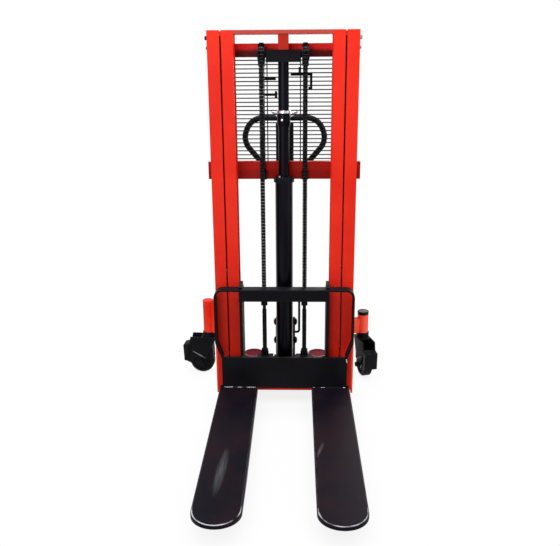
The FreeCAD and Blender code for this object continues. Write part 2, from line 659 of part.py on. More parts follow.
def carriage():
    hook = [(CARRIAGE_FACE, "upright_foot"), ("mast_y + upright_rear", "upright_foot"),
            ("mast_y + upright_rear", UPRIGHT_TOP + " - hook_slope"),
            ("mast_y + upright_rear - upright_hook", UPRIGHT_TOP), (CARRIAGE_FACE, UPRIGHT_TOP),
            (CARRIAGE_FACE + " - upright_thick", "hoop_top + upright_rise / 2"), (CARRIAGE_FACE, "hoop_top")]
    right = place(padded("YZ_Plane", hook, "upright_thick"), x=UPRIGHT_IN)
    stubs = roller_stub(UPRIGHT_OUT, "carriage_roller_low")
    stubs += roller_stub(UPRIGHT_OUT, "carriage_roller_high")
    both_sides("carriage_upright", fuse(right, *stubs))
    radius = "(channel_depth / 2 - channel_wall - stage_play - roller_play)"
    node("carriage_rollers_low", roller_pair(UPRIGHT_OUT, radius, "carriage_roller_low"))
    node("carriage_rollers_high", roller_pair(UPRIGHT_OUT, radius, "carriage_roller_high"))
    face = CARRIAGE_FACE
    front = face + " - plate_thick"
    node("fork_plate", box(("-fork_plate_half", "fork_plate_half"), (front, face),
                           ("fork_top - heel_rebate", "fork_plate_top")))
    node("cross_plate", box(("-" + UPRIGHT_OUT, UPRIGHT_OUT), (front, face),
                            ("cross_plate_foot", "hoop_top - hoop_bar")))
    outside = [("fork_plate_half", "fork_plate_top"), ("hoop_half", "hoop_shoulder"),
               ("hoop_half", "hoop_top")]
    inside = [("fork_plate_half - hoop_bar", "fork_plate_top"), ("hoop_half - hoop_bar", "hoop_shoulder"),
              ("hoop_half - hoop_bar", "hoop_top - hoop_bar")]
    points = outside + [("-(%s)" % x, z) for x, z in reversed(outside)]
    points += [("-(%s)" % x, z) for x, z in inside] + list(reversed(inside))
    bar = padded("XZ_Plane", points, "hoop_depth")

    def at_corner(inset):
        """Chooser of the two upper corner edges, a distance in from the outside."""
        def chosen(edge):
            centre = edge.CenterOfMass
            aside = abs(abs(centre.x) - size("hoop_half") + inset)
            below = abs(centre.z - size("hoop_top") + inset)
            return edge_runs(FreeCAD.Vector(0, 1, 0))(edge) and max(aside, below) < size("hoop_bar") / 2
        return chosen

    bar = rounded(bar, "hoop_round - hoop_bar", at_corner(size("hoop_bar")))
    bar = place(rounded(bar, "hoop_round", at_corner(0)), y="mast_y - hoop_front + hoop_depth")
    slots = [box(span, (CARRIAGE_FACE, "mast_y"), ("upright_foot", UPRIGHT_TOP))
             for span in ((UPRIGHT_IN, UPRIGHT_OUT), ("-" + UPRIGHT_OUT, "-" + UPRIGHT_IN))]
    node("carriage_hoop", cut(bar, *slots))
    shelf = box(("-shelf_half", "shelf_half"), (face, face + " + shelf_depth"),
                ("shelf_top - shelf_thick", "shelf_top"))
    notch = box(("-gland_radius - shelf_thick / 2", "gland_radius + shelf_thick / 2"),
                (face + " + shelf_depth - shelf_notch", face + " + shelf_depth + overrun"),
                ("shelf_top - shelf_thick - overrun", "shelf_top + overrun"))
    node("anchor_shelf", cut(shelf, notch))


def fork():
    tip = "mast_y - fork_reach"
    foot = "fork_top - fork_skirt"

    def blade(wall, low, high, heel):
        """The fork's plan, drawn in by a wall: a straight run with a round nose."""
        half = "(fork_width / 2 - %s)" % wall
        nose = tip + " + fork_width / 2"
        run = box(("fork_x - %s" % half, "fork_x + %s" % half), (nose, heel), (low, high))
        return fuse(run, rod("z", half, (low, high), x="fork_x", y=nose))

    shell = blade("0", foot, "fork_top", "mast_y - fork_heel")
    hollow = blade("fork_side", foot + " - overrun", "fork_top - fork_plate", "mast_y")
    slope = [(tip + " - overrun", foot + " - overrun"), (tip + " + fork_ramp", foot + " - overrun"),
             (tip + " + fork_ramp", foot), (tip, "fork_top - fork_tip"),
             (tip + " - overrun", "fork_top - fork_tip")]
    ramp = place(padded("YZ_Plane", slope, "fork_width + overrun * 2"),
                 x="fork_x - fork_width / 2 - overrun")
    rebate = box(("fork_x - fork_width", "fork_x + fork_width"),
                 (CARRIAGE_FACE + " - plate_thick", "mast_y"),
                 ("fork_top - heel_rebate", "fork_top + overrun"))
    blank = cut(shell, hollow, ramp, rebate)
    doc.recompute()
    heel = size("mast_y") - size("upright_front") - size("plate_thick")
    rim = [(number, size("fork_round"), size("fork_round"))
           for number, edge in enumerate(blank.Shape.Edges, start=1)
           if min(vertex.Z for vertex in edge.Vertexes) > size("fork_top") - size("running_fit")
           and edge.CenterOfMass.y < heel - size("fork_side")]
    eased = doc.addObject("Part::Fillet", "Eased")
    eased.Base = blank
    eased.Edges = rim
    both_sides("fork", eased)


def straddle_leg():
    span = (LEG_TIP, "mast_y + channel_wall")
    axle_y = LEG_TIP + " + load_wheel_set"
    half = "leg_width / 2"
    leg = box(("fork_x - %s" % half, "fork_x + %s" % half), span, ("leg_foot", "leg_top"))
    hollow = box(("fork_x - %s + leg_wall" % half, "fork_x + %s - leg_wall" % half),
                 (span[0] + " + leg_wall", span[1] + " - leg_wall"),
                 ("leg_foot - overrun", "leg_top - leg_wall"))
    slot_half = "(load_wheel_width / 2 + leg_wall / 2)"
    slot = box(("fork_x - " + slot_half, "fork_x + " + slot_half),
               (axle_y + " - load_wheel_radius - leg_wall", axle_y + " + load_wheel_radius + leg_wall"),
               ("leg_foot", "leg_top + overrun"))
    hole = rod("x", "load_axle + running_fit", ("fork_x - leg_width", "fork_x + leg_width"),
               y=axle_y, z="load_wheel_radius")
    both_sides("straddle_leg", cut(leg, hollow, slot, hole))
    axle = rod("x", "load_axle", ("fork_x - %s" % half, "fork_x + %s" % half),
               y=axle_y, z="load_wheel_radius")
    node("load_axles", group(axle, mirror(axle)))
    bore = "load_axle + running_fit"
    edge = "load_wheel_width / 2"
    crown = "load_wheel_radius - leg_wall / 2"
    points = [("-" + edge, bore), (edge, bore), (edge, crown),
              (edge + " - leg_wall / 2", "load_wheel_radius"),
              ("leg_wall / 2 - " + edge, "load_wheel_radius"), ("-" + edge, crown)]
    wheel = place(turned("XY_Plane", "H_Axis", points), x="fork_x", y=axle_y, z="load_wheel_radius")
    both_sides("load_wheel", wheel)


def rear_base():
    start = MAST_REAR + " - channel_wall"
    end = "mast_y + tray_reach"
    points = [("-tray_half", start), ("tray_half", start), ("tray_half", end), ("-tray_half", end)]
    tray = padded("XY_Plane", points, "tray_thick")
    rear = size("mast_y") + size("tray_reach")

    def at_rear(edge):
        return edge_runs(FreeCAD.Vector(0, 0, 1))(edge) and edge.CenterOfMass.y > rear - size("tray_round")

    node("rear_base_plate", place(rounded(tray, "tray_round", at_rear), z="tray_foot"))
    under = TRAY_TOP + " + cap_post"
    above = under + " + cap_height"
    profile = [("0", TRAY_TOP), ("cap_post_radius", TRAY_TOP), ("cap_post_radius", under),
               ("cap_radius", under), ("cap_radius", above + " - cap_chamfer"),
               ("cap_radius - cap_chamfer", above), ("0", above)]
    cap = place(turned("XZ_Plane", "V_Axis", profile), x="cap_x", y="mast_y + cap_y")
    node("base_caps", group(cap, mirror(cap)))


def caster_bracket(side):
    """Welded side plate, gusset and stem tube, drawn on the right."""
    top = "tube_top_" + side
    wing_top = top + " - gusset_drop"
    stem_y = "(mast_y + stem_y)"
    profile = [("mast_y + channel_wall", "side_plate_foot"), (MAST_REAR, "side_plate_foot"),
               (stem_y + " - caster_sweep", "tube_foot"), ("mast_y + side_plate_rear", "tube_foot"),
               ("mast_y + side_plate_rear", wing_top), ("mast_y + channel_wall", wing_top)]
    plate = place(padded("YZ_Plane", profile, "side_plate"), x="mast_half_width")
    inner = "mast_half_width + side_plate / 2"
    wings = [box((inner, STEM_X + " - tube_radius + gusset_lap"), span, ("tube_foot", wing_top))
             for span in ((stem_y + " - tube_radius", stem_y + " - tube_radius + side_plate"),
                          (stem_y + " - side_plate / 2", stem_y + " + side_plate / 2"))]
    tube = rod("z", "tube_radius", ("tube_foot", top), x=STEM_X, y=stem_y)
    bore_end = top + (" - tube_lid" if side == "left" else " + overrun")
    bore = rod("z", "stem_radius + running_fit", ("tube_foot - overrun", bore_end), x=STEM_X, y=stem_y)
    bracket = cut(fuse(plate, tube, *wings), bore)
    node("caster_bracket_" + side, mirror(bracket) if side == "left" else bracket)
    if side == "right":
        node("stem_cap", rod("z", "tube_radius", (top, top + " + stem_cap"), x=STEM_X, y=stem_y))


def swivelled(thing, side):
    """A caster piece, drawn about its stem with the wheel toward +X, set at its side of the chassis."""
    result = group(thing)
    degrees = CASTER_TURN_SHARES[side] * FULL_TURN_DEGREES
    result.Placement.Rotation = FreeCAD.Rotation(FreeCAD.Vector(0, 0, 1), degrees)
    return place(result, x="%s * %d" % (STEM_X, SIDES[side]), y="mast_y + stem_y")


def caster(side):
    inside = "(wheel_width / 2 + yoke_gap)"
    outside = "(wheel_width / 2 + yoke_gap + yoke_wall)"
    pivot_x = "(caster_trail + pedal_out)"
    cheek = [("-yoke_half", "crown_foot"),
             ("caster_trail - caster_axle * 2", "wheel_radius - caster_axle * 2"),
             ("caster_trail + caster_axle * 2", "wheel_radius - caster_axle * 2"),
             (pivot_x + " + pedal_boss / 2", "pedal_pivot - pedal_boss"),
             (pivot_x + " + pedal_boss", "pedal_pivot"),
             (pivot_x, "crown_foot + crown_thick"), ("-yoke_half", "crown_foot + crown_thick")]
    cheeks = [place(padded("XZ_Plane", cheek, "yoke_wall"), y=y) for y in (outside, "-" + inside)]
    crown = box(("-yoke_half", "caster_trail"), ("-" + outside, outside),
                ("crown_foot", "crown_foot + crown_thick"))
    bearing = rod("z", "bearing_radius", ("crown_foot + crown_thick", "tube_foot - swivel_play"))
    stem = rod("z", "stem_radius", ("crown_foot + crown_thick", "tube_top_right - tube_lid"))
    axle = rod("y", "caster_axle", ("-%s - yoke_wall" % outside, "%s + yoke_wall" % outside),
               x="caster_trail", z="wheel_radius")
    hole = rod("y", "pedal_pin + running_fit", ("-%s - overrun" % outside, "%s + overrun" % outside),
               x=pivot_x, z="pedal_pivot")
    node("caster_yoke_" + side, swivelled(cut(fuse(*cheeks, crown, bearing, stem, axle), hole), side))
    bore = "caster_axle + running_fit"
    half = "wheel_width / 2"
    face = "wheel_width / 2 - wheel_dish"
    profile = [(bore, "-" + half), ("wheel_hub", "-" + half),
               ("wheel_hub", "-(%s)" % face), ("wheel_rim", "-(%s)" % face),
               ("wheel_rim", "-" + half), ("wheel_radius - wheel_round", "-" + half),
               ("wheel_radius", "wheel_round - " + half), ("wheel_radius", half + " - wheel_round"),
               ("wheel_radius - wheel_round", half), ("wheel_rim", half),
               ("wheel_rim", face), ("wheel_hub", face), ("wheel_hub", half), (bore, half)]
    wheel = place(turned("XY_Plane", "V_Axis", profile), x="caster_trail", z="wheel_radius")
    node("caster_wheel_" + side, swivelled(wheel, side))
    grip = "(wheel_width / 2 + yoke_gap - swivel_play)"
    boss = rod("y", "pedal_boss", ("-" + grip, grip), x=pivot_x, z="pedal_pivot")
    pin = rod("y", "pedal_pin", ("-" + outside, outside), x=pivot_x, z="pedal_pivot")
    heel = "(pedal_boss + swivel_play)"
    tread = [(heel, "-pedal_thick"), ("pedal_heel", "-pedal_drop"), ("pedal_length", "-pedal_drop"),
             ("pedal_length + pedal_thick / 3", "pedal_thick / 3"), (heel, "pedal_thick")]
    step = place(padded("XZ_Plane", tread, "pedal_half * 2"), x=pivot_x, y="pedal_half", z="pedal_pivot")
    neck = box((pivot_x, pivot_x + " + " + heel), ("-" + grip, grip),
               ("pedal_pivot - pedal_thick / 2", "pedal_pivot + pedal_thick"))
    node("brake_pedal_" + side, swivelled(fuse(boss, pin, neck, step), side))


def hand_pump():
    pump_y = "(mast_y + pump_y)"
    top = TRAY_TOP + " + pump_base_height"
    block = box(("-pump_base_half", "pump_base_half"),
                (pump_y + " - pump_base_depth / 2", pump_y + " + pump_base_depth / 2"), (TRAY_TOP, top))
    body = rod("z", "pump_radius", (top, top + " + pump_height"), y=pump_y)
    release_y = "(mast_y + release_y)"
    head = "release_toe + release_rod + release_rise + valve_horn"
    valve = rod("z", "valve_radius", (TRAY_TOP, head), x="valve_x", y=release_y)
    half = "(release_rod + valve_play)"
    slot = box(("valve_x - valve_radius - overrun", "valve_x + valve_radius + overrun"),
               (release_y + " - " + half, release_y + " + " + half),
               ("release_toe - " + half, head + " + overrun"))
    node("hand_pump", cut(fuse(block, body, valve), slot))
    lugs = []
    for x in (("lug_inside", "lug_inside + lug_thick"), ("-lug_inside - lug_thick", "-lug_inside")):
        ear = box(x, (TILLER_Y + " - lug_half", TILLER_Y + " + lug_half"), (TRAY_TOP, "tiller_z"))
        head = rod("x", "lug_half", x, y=TILLER_Y, z="tiller_z")
        through = (x[0] + " - overrun", x[1] + " + overrun")
        holes = [rod("x", "tiller_pin + running_fit", through, y=TILLER_Y, z=z)
                 for z in ("tiller_z", "link_z")]
        lugs.append(cut(fuse(ear, head), *holes))
    node("tiller_lugs", group(*lugs))
    far = "lug_inside + lug_thick"
    pins = []
    for z in ("tiller_z", "link_z"):
        shank = rod("x", "tiller_pin", ("-(%s)" % far, far), y=TILLER_Y, z=z)
        heads = [rod("x", "pin_head_radius", span, y=TILLER_Y, z=z)
                 for span in ((far, far + " + pin_head"), ("-(%s) - pin_head" % far, "-(%s)" % far))]
        pins.append(fuse(shank, *heads))
    node("tiller_pins", group(*pins))


def tube_path(points, bends):
    """Straight runs joined by tangent arcs, one bend radius for each inner point."""
    edges = []
    last = points[0]
    for before, corner, after, bend in zip(points, points[1:], points[2:], bends):
        back = (before - corner).normalize()
        ahead = (after - corner).normalize()
        half = back.getAngle(ahead) / 2
        start = corner + back * (bend / math.tan(half))
        end = corner + ahead * (bend / math.tan(half))
        middle = corner + (back + ahead).normalize() * (bend / math.sin(half) - bend)
        edges.append(Part.LineSegment(last, start).toShape())
        edges.append(Part.Arc(start, middle, end).toShape())
        last = end
    edges.append(Part.LineSegment(last, points[-1]).toShape())
    return Part.Wire(edges)


def tiller():
    eye_half = "lug_inside - eye_play"
    eye = rod("x", "tiller_eye", ("-(%s)" % eye_half, eye_half), y=TILLER_Y, z="tiller_z")
    tube = rod("z", "tiller_radius", ("tiller_z", "spine_foot"), y=TILLER_Y)
    spine_front = TILLER_Y + " - spine_depth / 2"
    spine = box(("-spine_width / 2", "spine_width / 2"), (spine_front, TILLER_Y + " + spine_depth / 2"),
                ("spine_foot", "spine_top"))
    hole = rod("x", "tiller_pin + running_fit", ("-lug_inside", "lug_inside"), y=TILLER_Y, z="tiller_z")
    pivot_y = spine_front + " - lever_reach"
    pivot_z = "spine_top - lever_drop"
    half = "lever_width / 2"
    ears = [box(span, (pivot_y + " - lever_boss", spine_front),
                (pivot_z + " - lever_boss", pivot_z + " + lever_boss"))
            for span in ((half + " + eye_play", "spine_width / 2"),
                         ("-spine_width / 2", "-(%s) - eye_play" % half))]
    pin = rod("x", "lever_pin", ("-spine_width / 2", "spine_width / 2"), y=pivot_y, z=pivot_z)
    node("tiller_shaft", cut(fuse(eye, tube, spine, *ears, pin), hole))
    boss = rod("x", "lever_boss", ("-" + half, half), y=pivot_y, z=pivot_z)
    blade = box(("-" + half, half), (pivot_y + " - lever_thick / 2", pivot_y + " + lever_thick / 2"),
                (pivot_z, pivot_z + " + lever_height"))
    bore = rod("x", "lever_pin + running_fit", ("-lever_width", "lever_width"), y=pivot_y, z=pivot_z)
    node("control_lever", cut(fuse(boss, blade), bore))
    corners = (("loop_start", "loop_foot"), ("loop_wide_half", "loop_wide"), ("loop_top_half", "loop_top"))
    right = [FreeCAD.Vector(size("spine_width") / 2, 0, size("loop_foot"))]
    right += [FreeCAD.Vector(size(x), 0, size(z)) for x, z in corners]
    points = right + [FreeCAD.Vector(-point.x, 0, point.z) for point in reversed(right)]
    bends = [size("loop_foot_bend"), size("loop_bend"), size("loop_bend")]
    path = tube_path(points, bends + bends[::-1])
    ring = Part.Wire(Part.makeCircle(size("loop_radius"), points[0], FreeCAD.Vector(1, 0, 0)))
    loop = doc.addObject("Part::Feature", "Loop")
    loop.Shape = path.makePipeShell([ring], True, False)
    loop.Placement.Base = FreeCAD.Vector(0, size("mast_y") + size("tiller_y"), 0)
    node("tiller_loop", loop)


def release_gear():
    at = {"x": "release_x", "y": "(mast_y + release_y)"}
    lever_z = "(mast_height - release_lever_drop)"
    lever_top = size("mast_height") - size("release_lever_drop")
    points = [FreeCAD.Vector(size("valve_x") - size("valve_radius"), 0, size("release_toe")),
              FreeCAD.Vector(size("release_low"), 0, size("release_toe")),
              FreeCAD.Vector(size("release_low"), 0, size("release_jog")),
              FreeCAD.Vector(size("release_x"), 0, size("release_jog")),
              FreeCAD.Vector(size("release_x"), 0, lever_top)]
    path = tube_path(points, [size("release_bend")] * (len(points) - 2))
    ring = Part.Wire(Part.makeCircle(size("release_rod"), points[0], FreeCAD.Vector(1, 0, 0)))
    stem = doc.addObject("Part::Feature", "ReleaseStem")
    stem.Shape = path.makePipeShell([ring], True, False)
    stem.Placement.Base = FreeCAD.Vector(0, size("mast_y") + size("release_y"), 0)
    end = "release_x + release_outward"
    bar = rod("x", "release_bar", ("release_x - release_inward", end), y=at["y"], z=lever_z)
    latch = rod("z", "release_bar", (lever_z, lever_z + " + latch_rise"), x="latch_x", y=at["y"])
    post = rod("z", "release_bar", (lever_z + " - grip_drop", lever_z), x=end + " - release_bar", y=at["y"])
    back = rod("x", "release_bar", (end + " - grip_reach", end), y=at["y"], z=lever_z + " - grip_drop")
    node("release_rod", fuse(stem, bar, latch, post, back))
    middle = "(%s + mid_beam_height / 2)" % MID_BEAM_FOOT
    span = (middle + " - guide_height / 2", middle + " + guide_height / 2")
    ring = rod("z", "guide_radius", span, **at)
    web = box(("release_x - release_rod", "release_x + release_rod"), (BEAM_REAR, at["y"]), span)
    hole = rod("z", "release_rod + running_fit", (span[0] + " - overrun", span[1] + " + overrun"), **at)
    node("release_guide", cut(fuse(ring, web), hole))


def guard():
    cross_y = MAST_REAR + " + wire_radius"
    up_y = MAST_REAR + " + wire_radius * 3 - weld_sink"
    low_wire = "(%s + mid_beam_height + wire_margin)" % MID_BEAM_FOOT
    step = "(%s - wire_margin - %s) / %d" % (TOP_BEAM_FOOT, low_wire, WIRES - 1)
    heights = ["%s + %s * %d" % (low_wire, step, row) for row in range(WIRES)]
    cross = [rod("x", "wire_radius", ("-wire_half", "wire_half"), y=cross_y, z=z) for z in heights]
    uprights = [rod("z", "wire_radius", (MID_BEAM_FOOT + " + mid_beam_height", TOP_BEAM_FOOT), x=x, y=up_y)
                for x in ("upwire_x", "-upwire_x")]
    peg_y = up_y + " + wire_radius + peg_radius - weld_sink"
    span = ("-upwire_x - peg_out", "peg_in - upwire_x")
    high = rod("x", "peg_radius", span, y=peg_y, z=TOP_BEAM_FOOT + " - peg_high_drop")
    peg_low = "(%s - peg_low_drop)" % TOP_BEAM_FOOT
    low = rod("x", "peg_radius", span, y=peg_y, z=peg_low)
    tee = rod("z", "peg_radius", (peg_low + " - peg_tee / 2", peg_low + " + peg_tee / 2"),
              x=span[1], y=peg_y)
    node("guard_mesh", fuse(*cross, *uprights, high, low, tee))


def write_parts():
    """Check every object and sub-part, then write one file for each sub-part."""
    doc.recompute()
    failed = [thing.Label for thing in doc.Objects if {"Invalid", "Error"} & set(thing.State)]
    failed += [label for label, thing in nodes.items() if thing.Shape.isNull() or not thing.Shape.isValid()]
    if failed:
        raise RuntimeError("sub-parts that failed: " + ", ".join(failed))
    os.makedirs("parts", exist_ok=True)
    aside = FreeCAD.Vector(size("mast_x"), 0, 0)
    for label, thing in nodes.items():
        thing.Shape.translated(aside).exportStep(os.path.join("parts", label + ".step"))


outer_mast()
inner_mast()
lift_cylinder()
crosshead()
chains()
carriage()
fork()
straddle_leg()
rear_base()
for caster_side in SIDES:
    caster_bracket(caster_side)
    caster(caster_side)
hand_pump()
tiller()
release_gear()
guard()
write_parts()
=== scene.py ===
import json
import math

import bmesh
import bpy
from mathutils import Matrix, Vector


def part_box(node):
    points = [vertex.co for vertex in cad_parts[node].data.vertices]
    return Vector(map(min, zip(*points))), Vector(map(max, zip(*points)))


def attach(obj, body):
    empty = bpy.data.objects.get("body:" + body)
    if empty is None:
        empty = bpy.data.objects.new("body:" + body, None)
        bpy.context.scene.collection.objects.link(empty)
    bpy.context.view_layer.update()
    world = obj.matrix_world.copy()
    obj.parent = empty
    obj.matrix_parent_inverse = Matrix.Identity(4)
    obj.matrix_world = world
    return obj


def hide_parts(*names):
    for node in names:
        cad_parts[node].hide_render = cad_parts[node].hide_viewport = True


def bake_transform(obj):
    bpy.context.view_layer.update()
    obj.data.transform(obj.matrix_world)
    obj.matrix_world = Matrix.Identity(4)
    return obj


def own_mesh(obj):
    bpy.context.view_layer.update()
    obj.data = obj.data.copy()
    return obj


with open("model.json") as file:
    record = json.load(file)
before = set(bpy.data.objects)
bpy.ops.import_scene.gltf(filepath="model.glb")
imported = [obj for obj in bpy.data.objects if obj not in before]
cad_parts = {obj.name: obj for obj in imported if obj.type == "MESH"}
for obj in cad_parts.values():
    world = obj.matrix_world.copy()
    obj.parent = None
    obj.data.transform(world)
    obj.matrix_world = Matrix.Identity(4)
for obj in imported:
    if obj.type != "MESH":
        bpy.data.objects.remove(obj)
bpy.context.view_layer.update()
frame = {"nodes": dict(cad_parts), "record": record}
nodes = frame["nodes"]

MM = 0.001
SIDES = {"left": -1, "right": 1}
X, Y, Z = Vector((1, 0, 0)), Vector((0, 1, 0)), Vector((0, 0, 1))


def middle(node):
    low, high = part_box(node)
    return (low + high) / 2


# Places that several pieces share, read from the frame
MAST_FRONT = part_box("outer_column_left")[0].y
MAST_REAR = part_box("outer_column_left")[1].y
MAST_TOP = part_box("outer_column_left")[1].z
MAST_MIDDLE = (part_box("outer_column_left")[0].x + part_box("outer_column_right")[1].x) / 2
MAST_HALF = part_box("outer_column_right")[1].x - MAST_MIDDLE
PLATE_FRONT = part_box("fork_plate")[0].y
FORK_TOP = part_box("fork_right")[1].z


# Camera

# The view was fitted to the fork and mast corners of the photograph, 560 by 546 pixels.
PHOTO_WIDTH = 560
FOCAL_PIXELS = 673
SENSOR_MM = 36
CAMERA_PLACE = (MAST_MIDDLE + 0.0528, MAST_FRONT - 2.6254, 1.3898)
CAMERA_YAW = -0.0266
CAMERA_PITCH = 0.2994
CAMERA_ROLL = math.radians(-0.36)


def place_camera():
    data = bpy.data.cameras.new("photo_view")
    data.sensor_fit = "HORIZONTAL"
    data.sensor_width = SENSOR_MM
    data.lens = FOCAL_PIXELS * SENSOR_MM / PHOTO_WIDTH
    camera = bpy.data.objects.new("photo_view", data)
    bpy.context.scene.collection.objects.link(camera)
    turn = (Matrix.Rotation(-CAMERA_YAW, 4, "Z") @ Matrix.Rotation(math.pi / 2 - CAMERA_PITCH, 4, "X")
            @ Matrix.Rotation(CAMERA_ROLL, 4, "Z"))
    camera.matrix_world = Matrix.Translation(CAMERA_PLACE) @ turn
    bpy.context.scene.camera = camera


# Materials

RESIN_IOR = 1.5
BEVEL_SAMPLES = 4
RELIEF_STRENGTH = 0.25
# Most values of a noise texture lie in this span.
NOISE_SPAN = (0.3, 0.7)
WHOLE = (0.0, 1.0)


def colour(hex_code):
    """An sRGB hex colour as linear RGBA."""
    parts = [int(hex_code[at:at + 2], 16) / 255 for at in (1, 3, 5)]
    linear = [part / 12.92 if part <= 0.04045 else ((part + 0.055) / 1.055) ** 2.4 for part in parts]
    return (*linear, 1)


def add_node(tree, kind, inputs=None, **settings):
    """A node with its settings, and its inputs set to values or linked to sockets."""
    made = tree.nodes.new(kind)
    for name, value in settings.items():
        setattr(made, name, value)
    for socket, value in (inputs or {}).items():
        if isinstance(value, bpy.types.NodeSocket):
            tree.links.new(value, made.inputs[socket])
        else:
            made.inputs[socket].default_value = value
    return made


def new_material(name, **sockets):
    """A node material, its tree, its shader and its place in metres; sockets set the shader's even values."""
    material = bpy.data.materials.new(name)
    material.use_nodes = True
    tree = material.node_tree
    shader = tree.nodes["Principled BSDF"]
    for socket, value in sockets.items():
        shader.inputs[socket.replace("_", " ")].default_value = value
    place = add_node(tree, "ShaderNodeTexCoord").outputs["Object"]
    return material, tree, shader, place


def per_metre(millimetres):
    """Texture scale that gives features of a real size."""
    return 1 / (millimetres * MM)


def noise(tree, place, size_mm, detail):
    """Cloudy noise with features of a real size."""
    made = add_node(tree, "ShaderNodeTexNoise",
                    {"Vector": place, "Scale": per_metre(size_mm), "Detail": detail})
    return made.outputs["Fac"]


def worked_noise(tree, place, scale, detail):
    """Cloudy noise with a scale of its own along each axis."""
    worked = add_node(tree, "ShaderNodeMapping", {"Vector": place, "Scale": scale}).outputs["Vector"]
    made = add_node(tree, "ShaderNodeTexNoise", {"Vector": worked, "Scale": 1.0, "Detail": detail})
    return made.outputs["Fac"]


def ranged(tree, value, span, result=WHOLE):
    """A value carried from one span to another."""
    made = add_node(tree, "ShaderNodeMapRange", {"Value": value, "From Min": span[0], "From Max": span[1],
                                                 "To Min": result[0], "To Max": result[1]})
    return made.outputs["Result"]


def combine(tree, operation, first, second):
    """Two values put together by one sum."""
    return add_node(tree, "ShaderNodeMath", {0: first, 1: second}, operation=operation).outputs["Value"]


def along(tree, vector, axis):
    """One axis of a vector."""
    return add_node(tree, "ShaderNodeSeparateXYZ", {"Vector": vector}).outputs[axis]


def face_normal(tree):
    return add_node(tree, "ShaderNodeNewGeometry").outputs["Normal"]


def two_tone(tree, shader, factor, tones, span=(0.35, 0.65)):
    """Base colour that runs between two tones as a factor crosses a span."""
    ramp = add_node(tree, "ShaderNodeValToRGB", {"Fac": factor})
    for element, position, tone in zip(ramp.color_ramp.elements, span, tones):
        element.position = position
        element.color = colour(tone)
    tree.links.new(ramp.outputs["Color"], shader.inputs["Base Color"])
    return ramp.outputs["Color"]


def overlay(tree, shader, mask, under, over):
    """Base colour that changes from one colour to another where a mask is 1."""
    mix = add_node(tree, "ShaderNodeMix", {0: mask, 6: under, 7: over}, data_type="RGBA")
    tree.links.new(mix.outputs[2], shader.inputs["Base Color"])


def uneven_gloss(tree, shader, factor, roughness, span=NOISE_SPAN):
    """Roughness that drifts between two values."""
    tree.links.new(ranged(tree, factor, span, roughness), shader.inputs["Roughness"])


def rounded_edge(tree, radius_mm):
    """The normal of edges that look rounded to a real radius."""
    made = add_node(tree, "ShaderNodeBevel", {"Radius": radius_mm * MM}, samples=BEVEL_SAMPLES)
    return made.outputs["Normal"]


def skin(tree, shader, height, depth_mm, edge_mm=0):
    """Fine relief over edges that look rounded to a real radius."""
    bump = add_node(tree, "ShaderNodeBump",
                    {"Height": height, "Strength": RELIEF_STRENGTH, "Distance": depth_mm * MM})
    if edge_mm:
        tree.links.new(rounded_edge(tree, edge_mm), bump.inputs["Normal"])
    tree.links.new(bump.outputs["Normal"], shader.inputs["Normal"])


def worn_edges(tree, place, reach_mm, patch_mm):
    """A mask that is 1 on rubbed edges: where a rounded edge turns from its face, broken up by patches."""
    turn = add_node(tree, "ShaderNodeVectorMath", {0: rounded_edge(tree, reach_mm), 1: face_normal(tree)},
                    operation="DOT_PRODUCT")
    limit = ranged(tree, noise(tree, place, patch_mm, detail=4.0), (0.35, 0.7), (0.6, 0.99))
    bare = combine(tree, "SUBTRACT", limit, turn.outputs["Value"])
    return ranged(tree, bare, (0.0, 0.06))


def paint(name, tones, roughness, peel_mm, drift_mm, worn=None, **sockets):
    """Sprayed or powder paint: close tones that drift, an orange-peel skin, uneven gloss and rubbed edges."""
    material, tree, shader, place = new_material(name, IOR=RESIN_IOR, **sockets)
    drift = noise(tree, place, drift_mm, detail=3.0)
    tone = two_tone(tree, shader, drift, tones)
    uneven_gloss(tree, shader, drift, roughness)
    skin(tree, shader, noise(tree, place, peel_mm, detail=2.0), depth_mm=0.25, edge_mm=1.5)
    if worn:
        overlay(tree, shader, worn_edges(tree, place, reach_mm=2.5, patch_mm=35), tone, colour(worn))
    return material


def red_powder_coat():
    # Polyester powder coat, red-orange, oven cured: even colour under a satin orange-peel skin.
    # The real peel is about 1 mm across; it is drawn at 4 mm so that it shows.
    return paint("red_powder_coat", ("#DB2210", "#E52C18"), (0.42, 0.55), peel_mm=4, drift_mm=180,
                 Specular_IOR_Level=0.14)


def left_lit_red_coat():
    # The same powder coat on the left bracket, painted a clearer, lighter red: a painted highlight for the
    # light that falls on it.
    return paint("left_lit_red_coat", ("#F22E14", "#FA4A30"), (0.42, 0.55), peel_mm=4, drift_mm=90,
                 Specular_IOR_Level=0.14)


def right_lit_red_coat():
    # The same powder coat on the right bracket, painted a paler orange red: a painted highlight for the light
    # on that side.
    return paint("right_lit_red_coat", ("#FF4C36", "#FF7058"), (0.42, 0.55), peel_mm=4, drift_mm=60,
                 Specular_IOR_Level=0.14)


def graded_red(name, node, tones, band=(0.4, 0.66)):
    """The red coat of one piece, its tone graded with height on the side towards the forks: painted light and
    shade.
    """
    material, tree, shader, place = new_material(name, IOR=RESIN_IOR, Specular_IOR_Level=0.12)
    low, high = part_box(node)
    rise = ranged(tree, along(tree, place, "Z"), (low.z, high.z))
    cloud = noise(tree, place, size_mm=30, detail=3.0)
    ragged = ranged(tree, cloud, WHOLE, (-0.1, 0.1))
    painted_light_and_shade = two_tone(tree, shader, combine(tree, "ADD", rise, ragged), tones, band)
    # Only the side towards the forks carries the painted light and shade; the other sides keep the plain red.
    front = ranged(tree, along(tree, face_normal(tree), "Y"), (-0.2, -0.4))
    overlay(tree, shader, front, colour("#E02716"), painted_light_and_shade)
    uneven_gloss(tree, shader, cloud, (0.4, 0.55))
    skin(tree, shader, cloud, depth_mm=0.2, edge_mm=2)
    return material


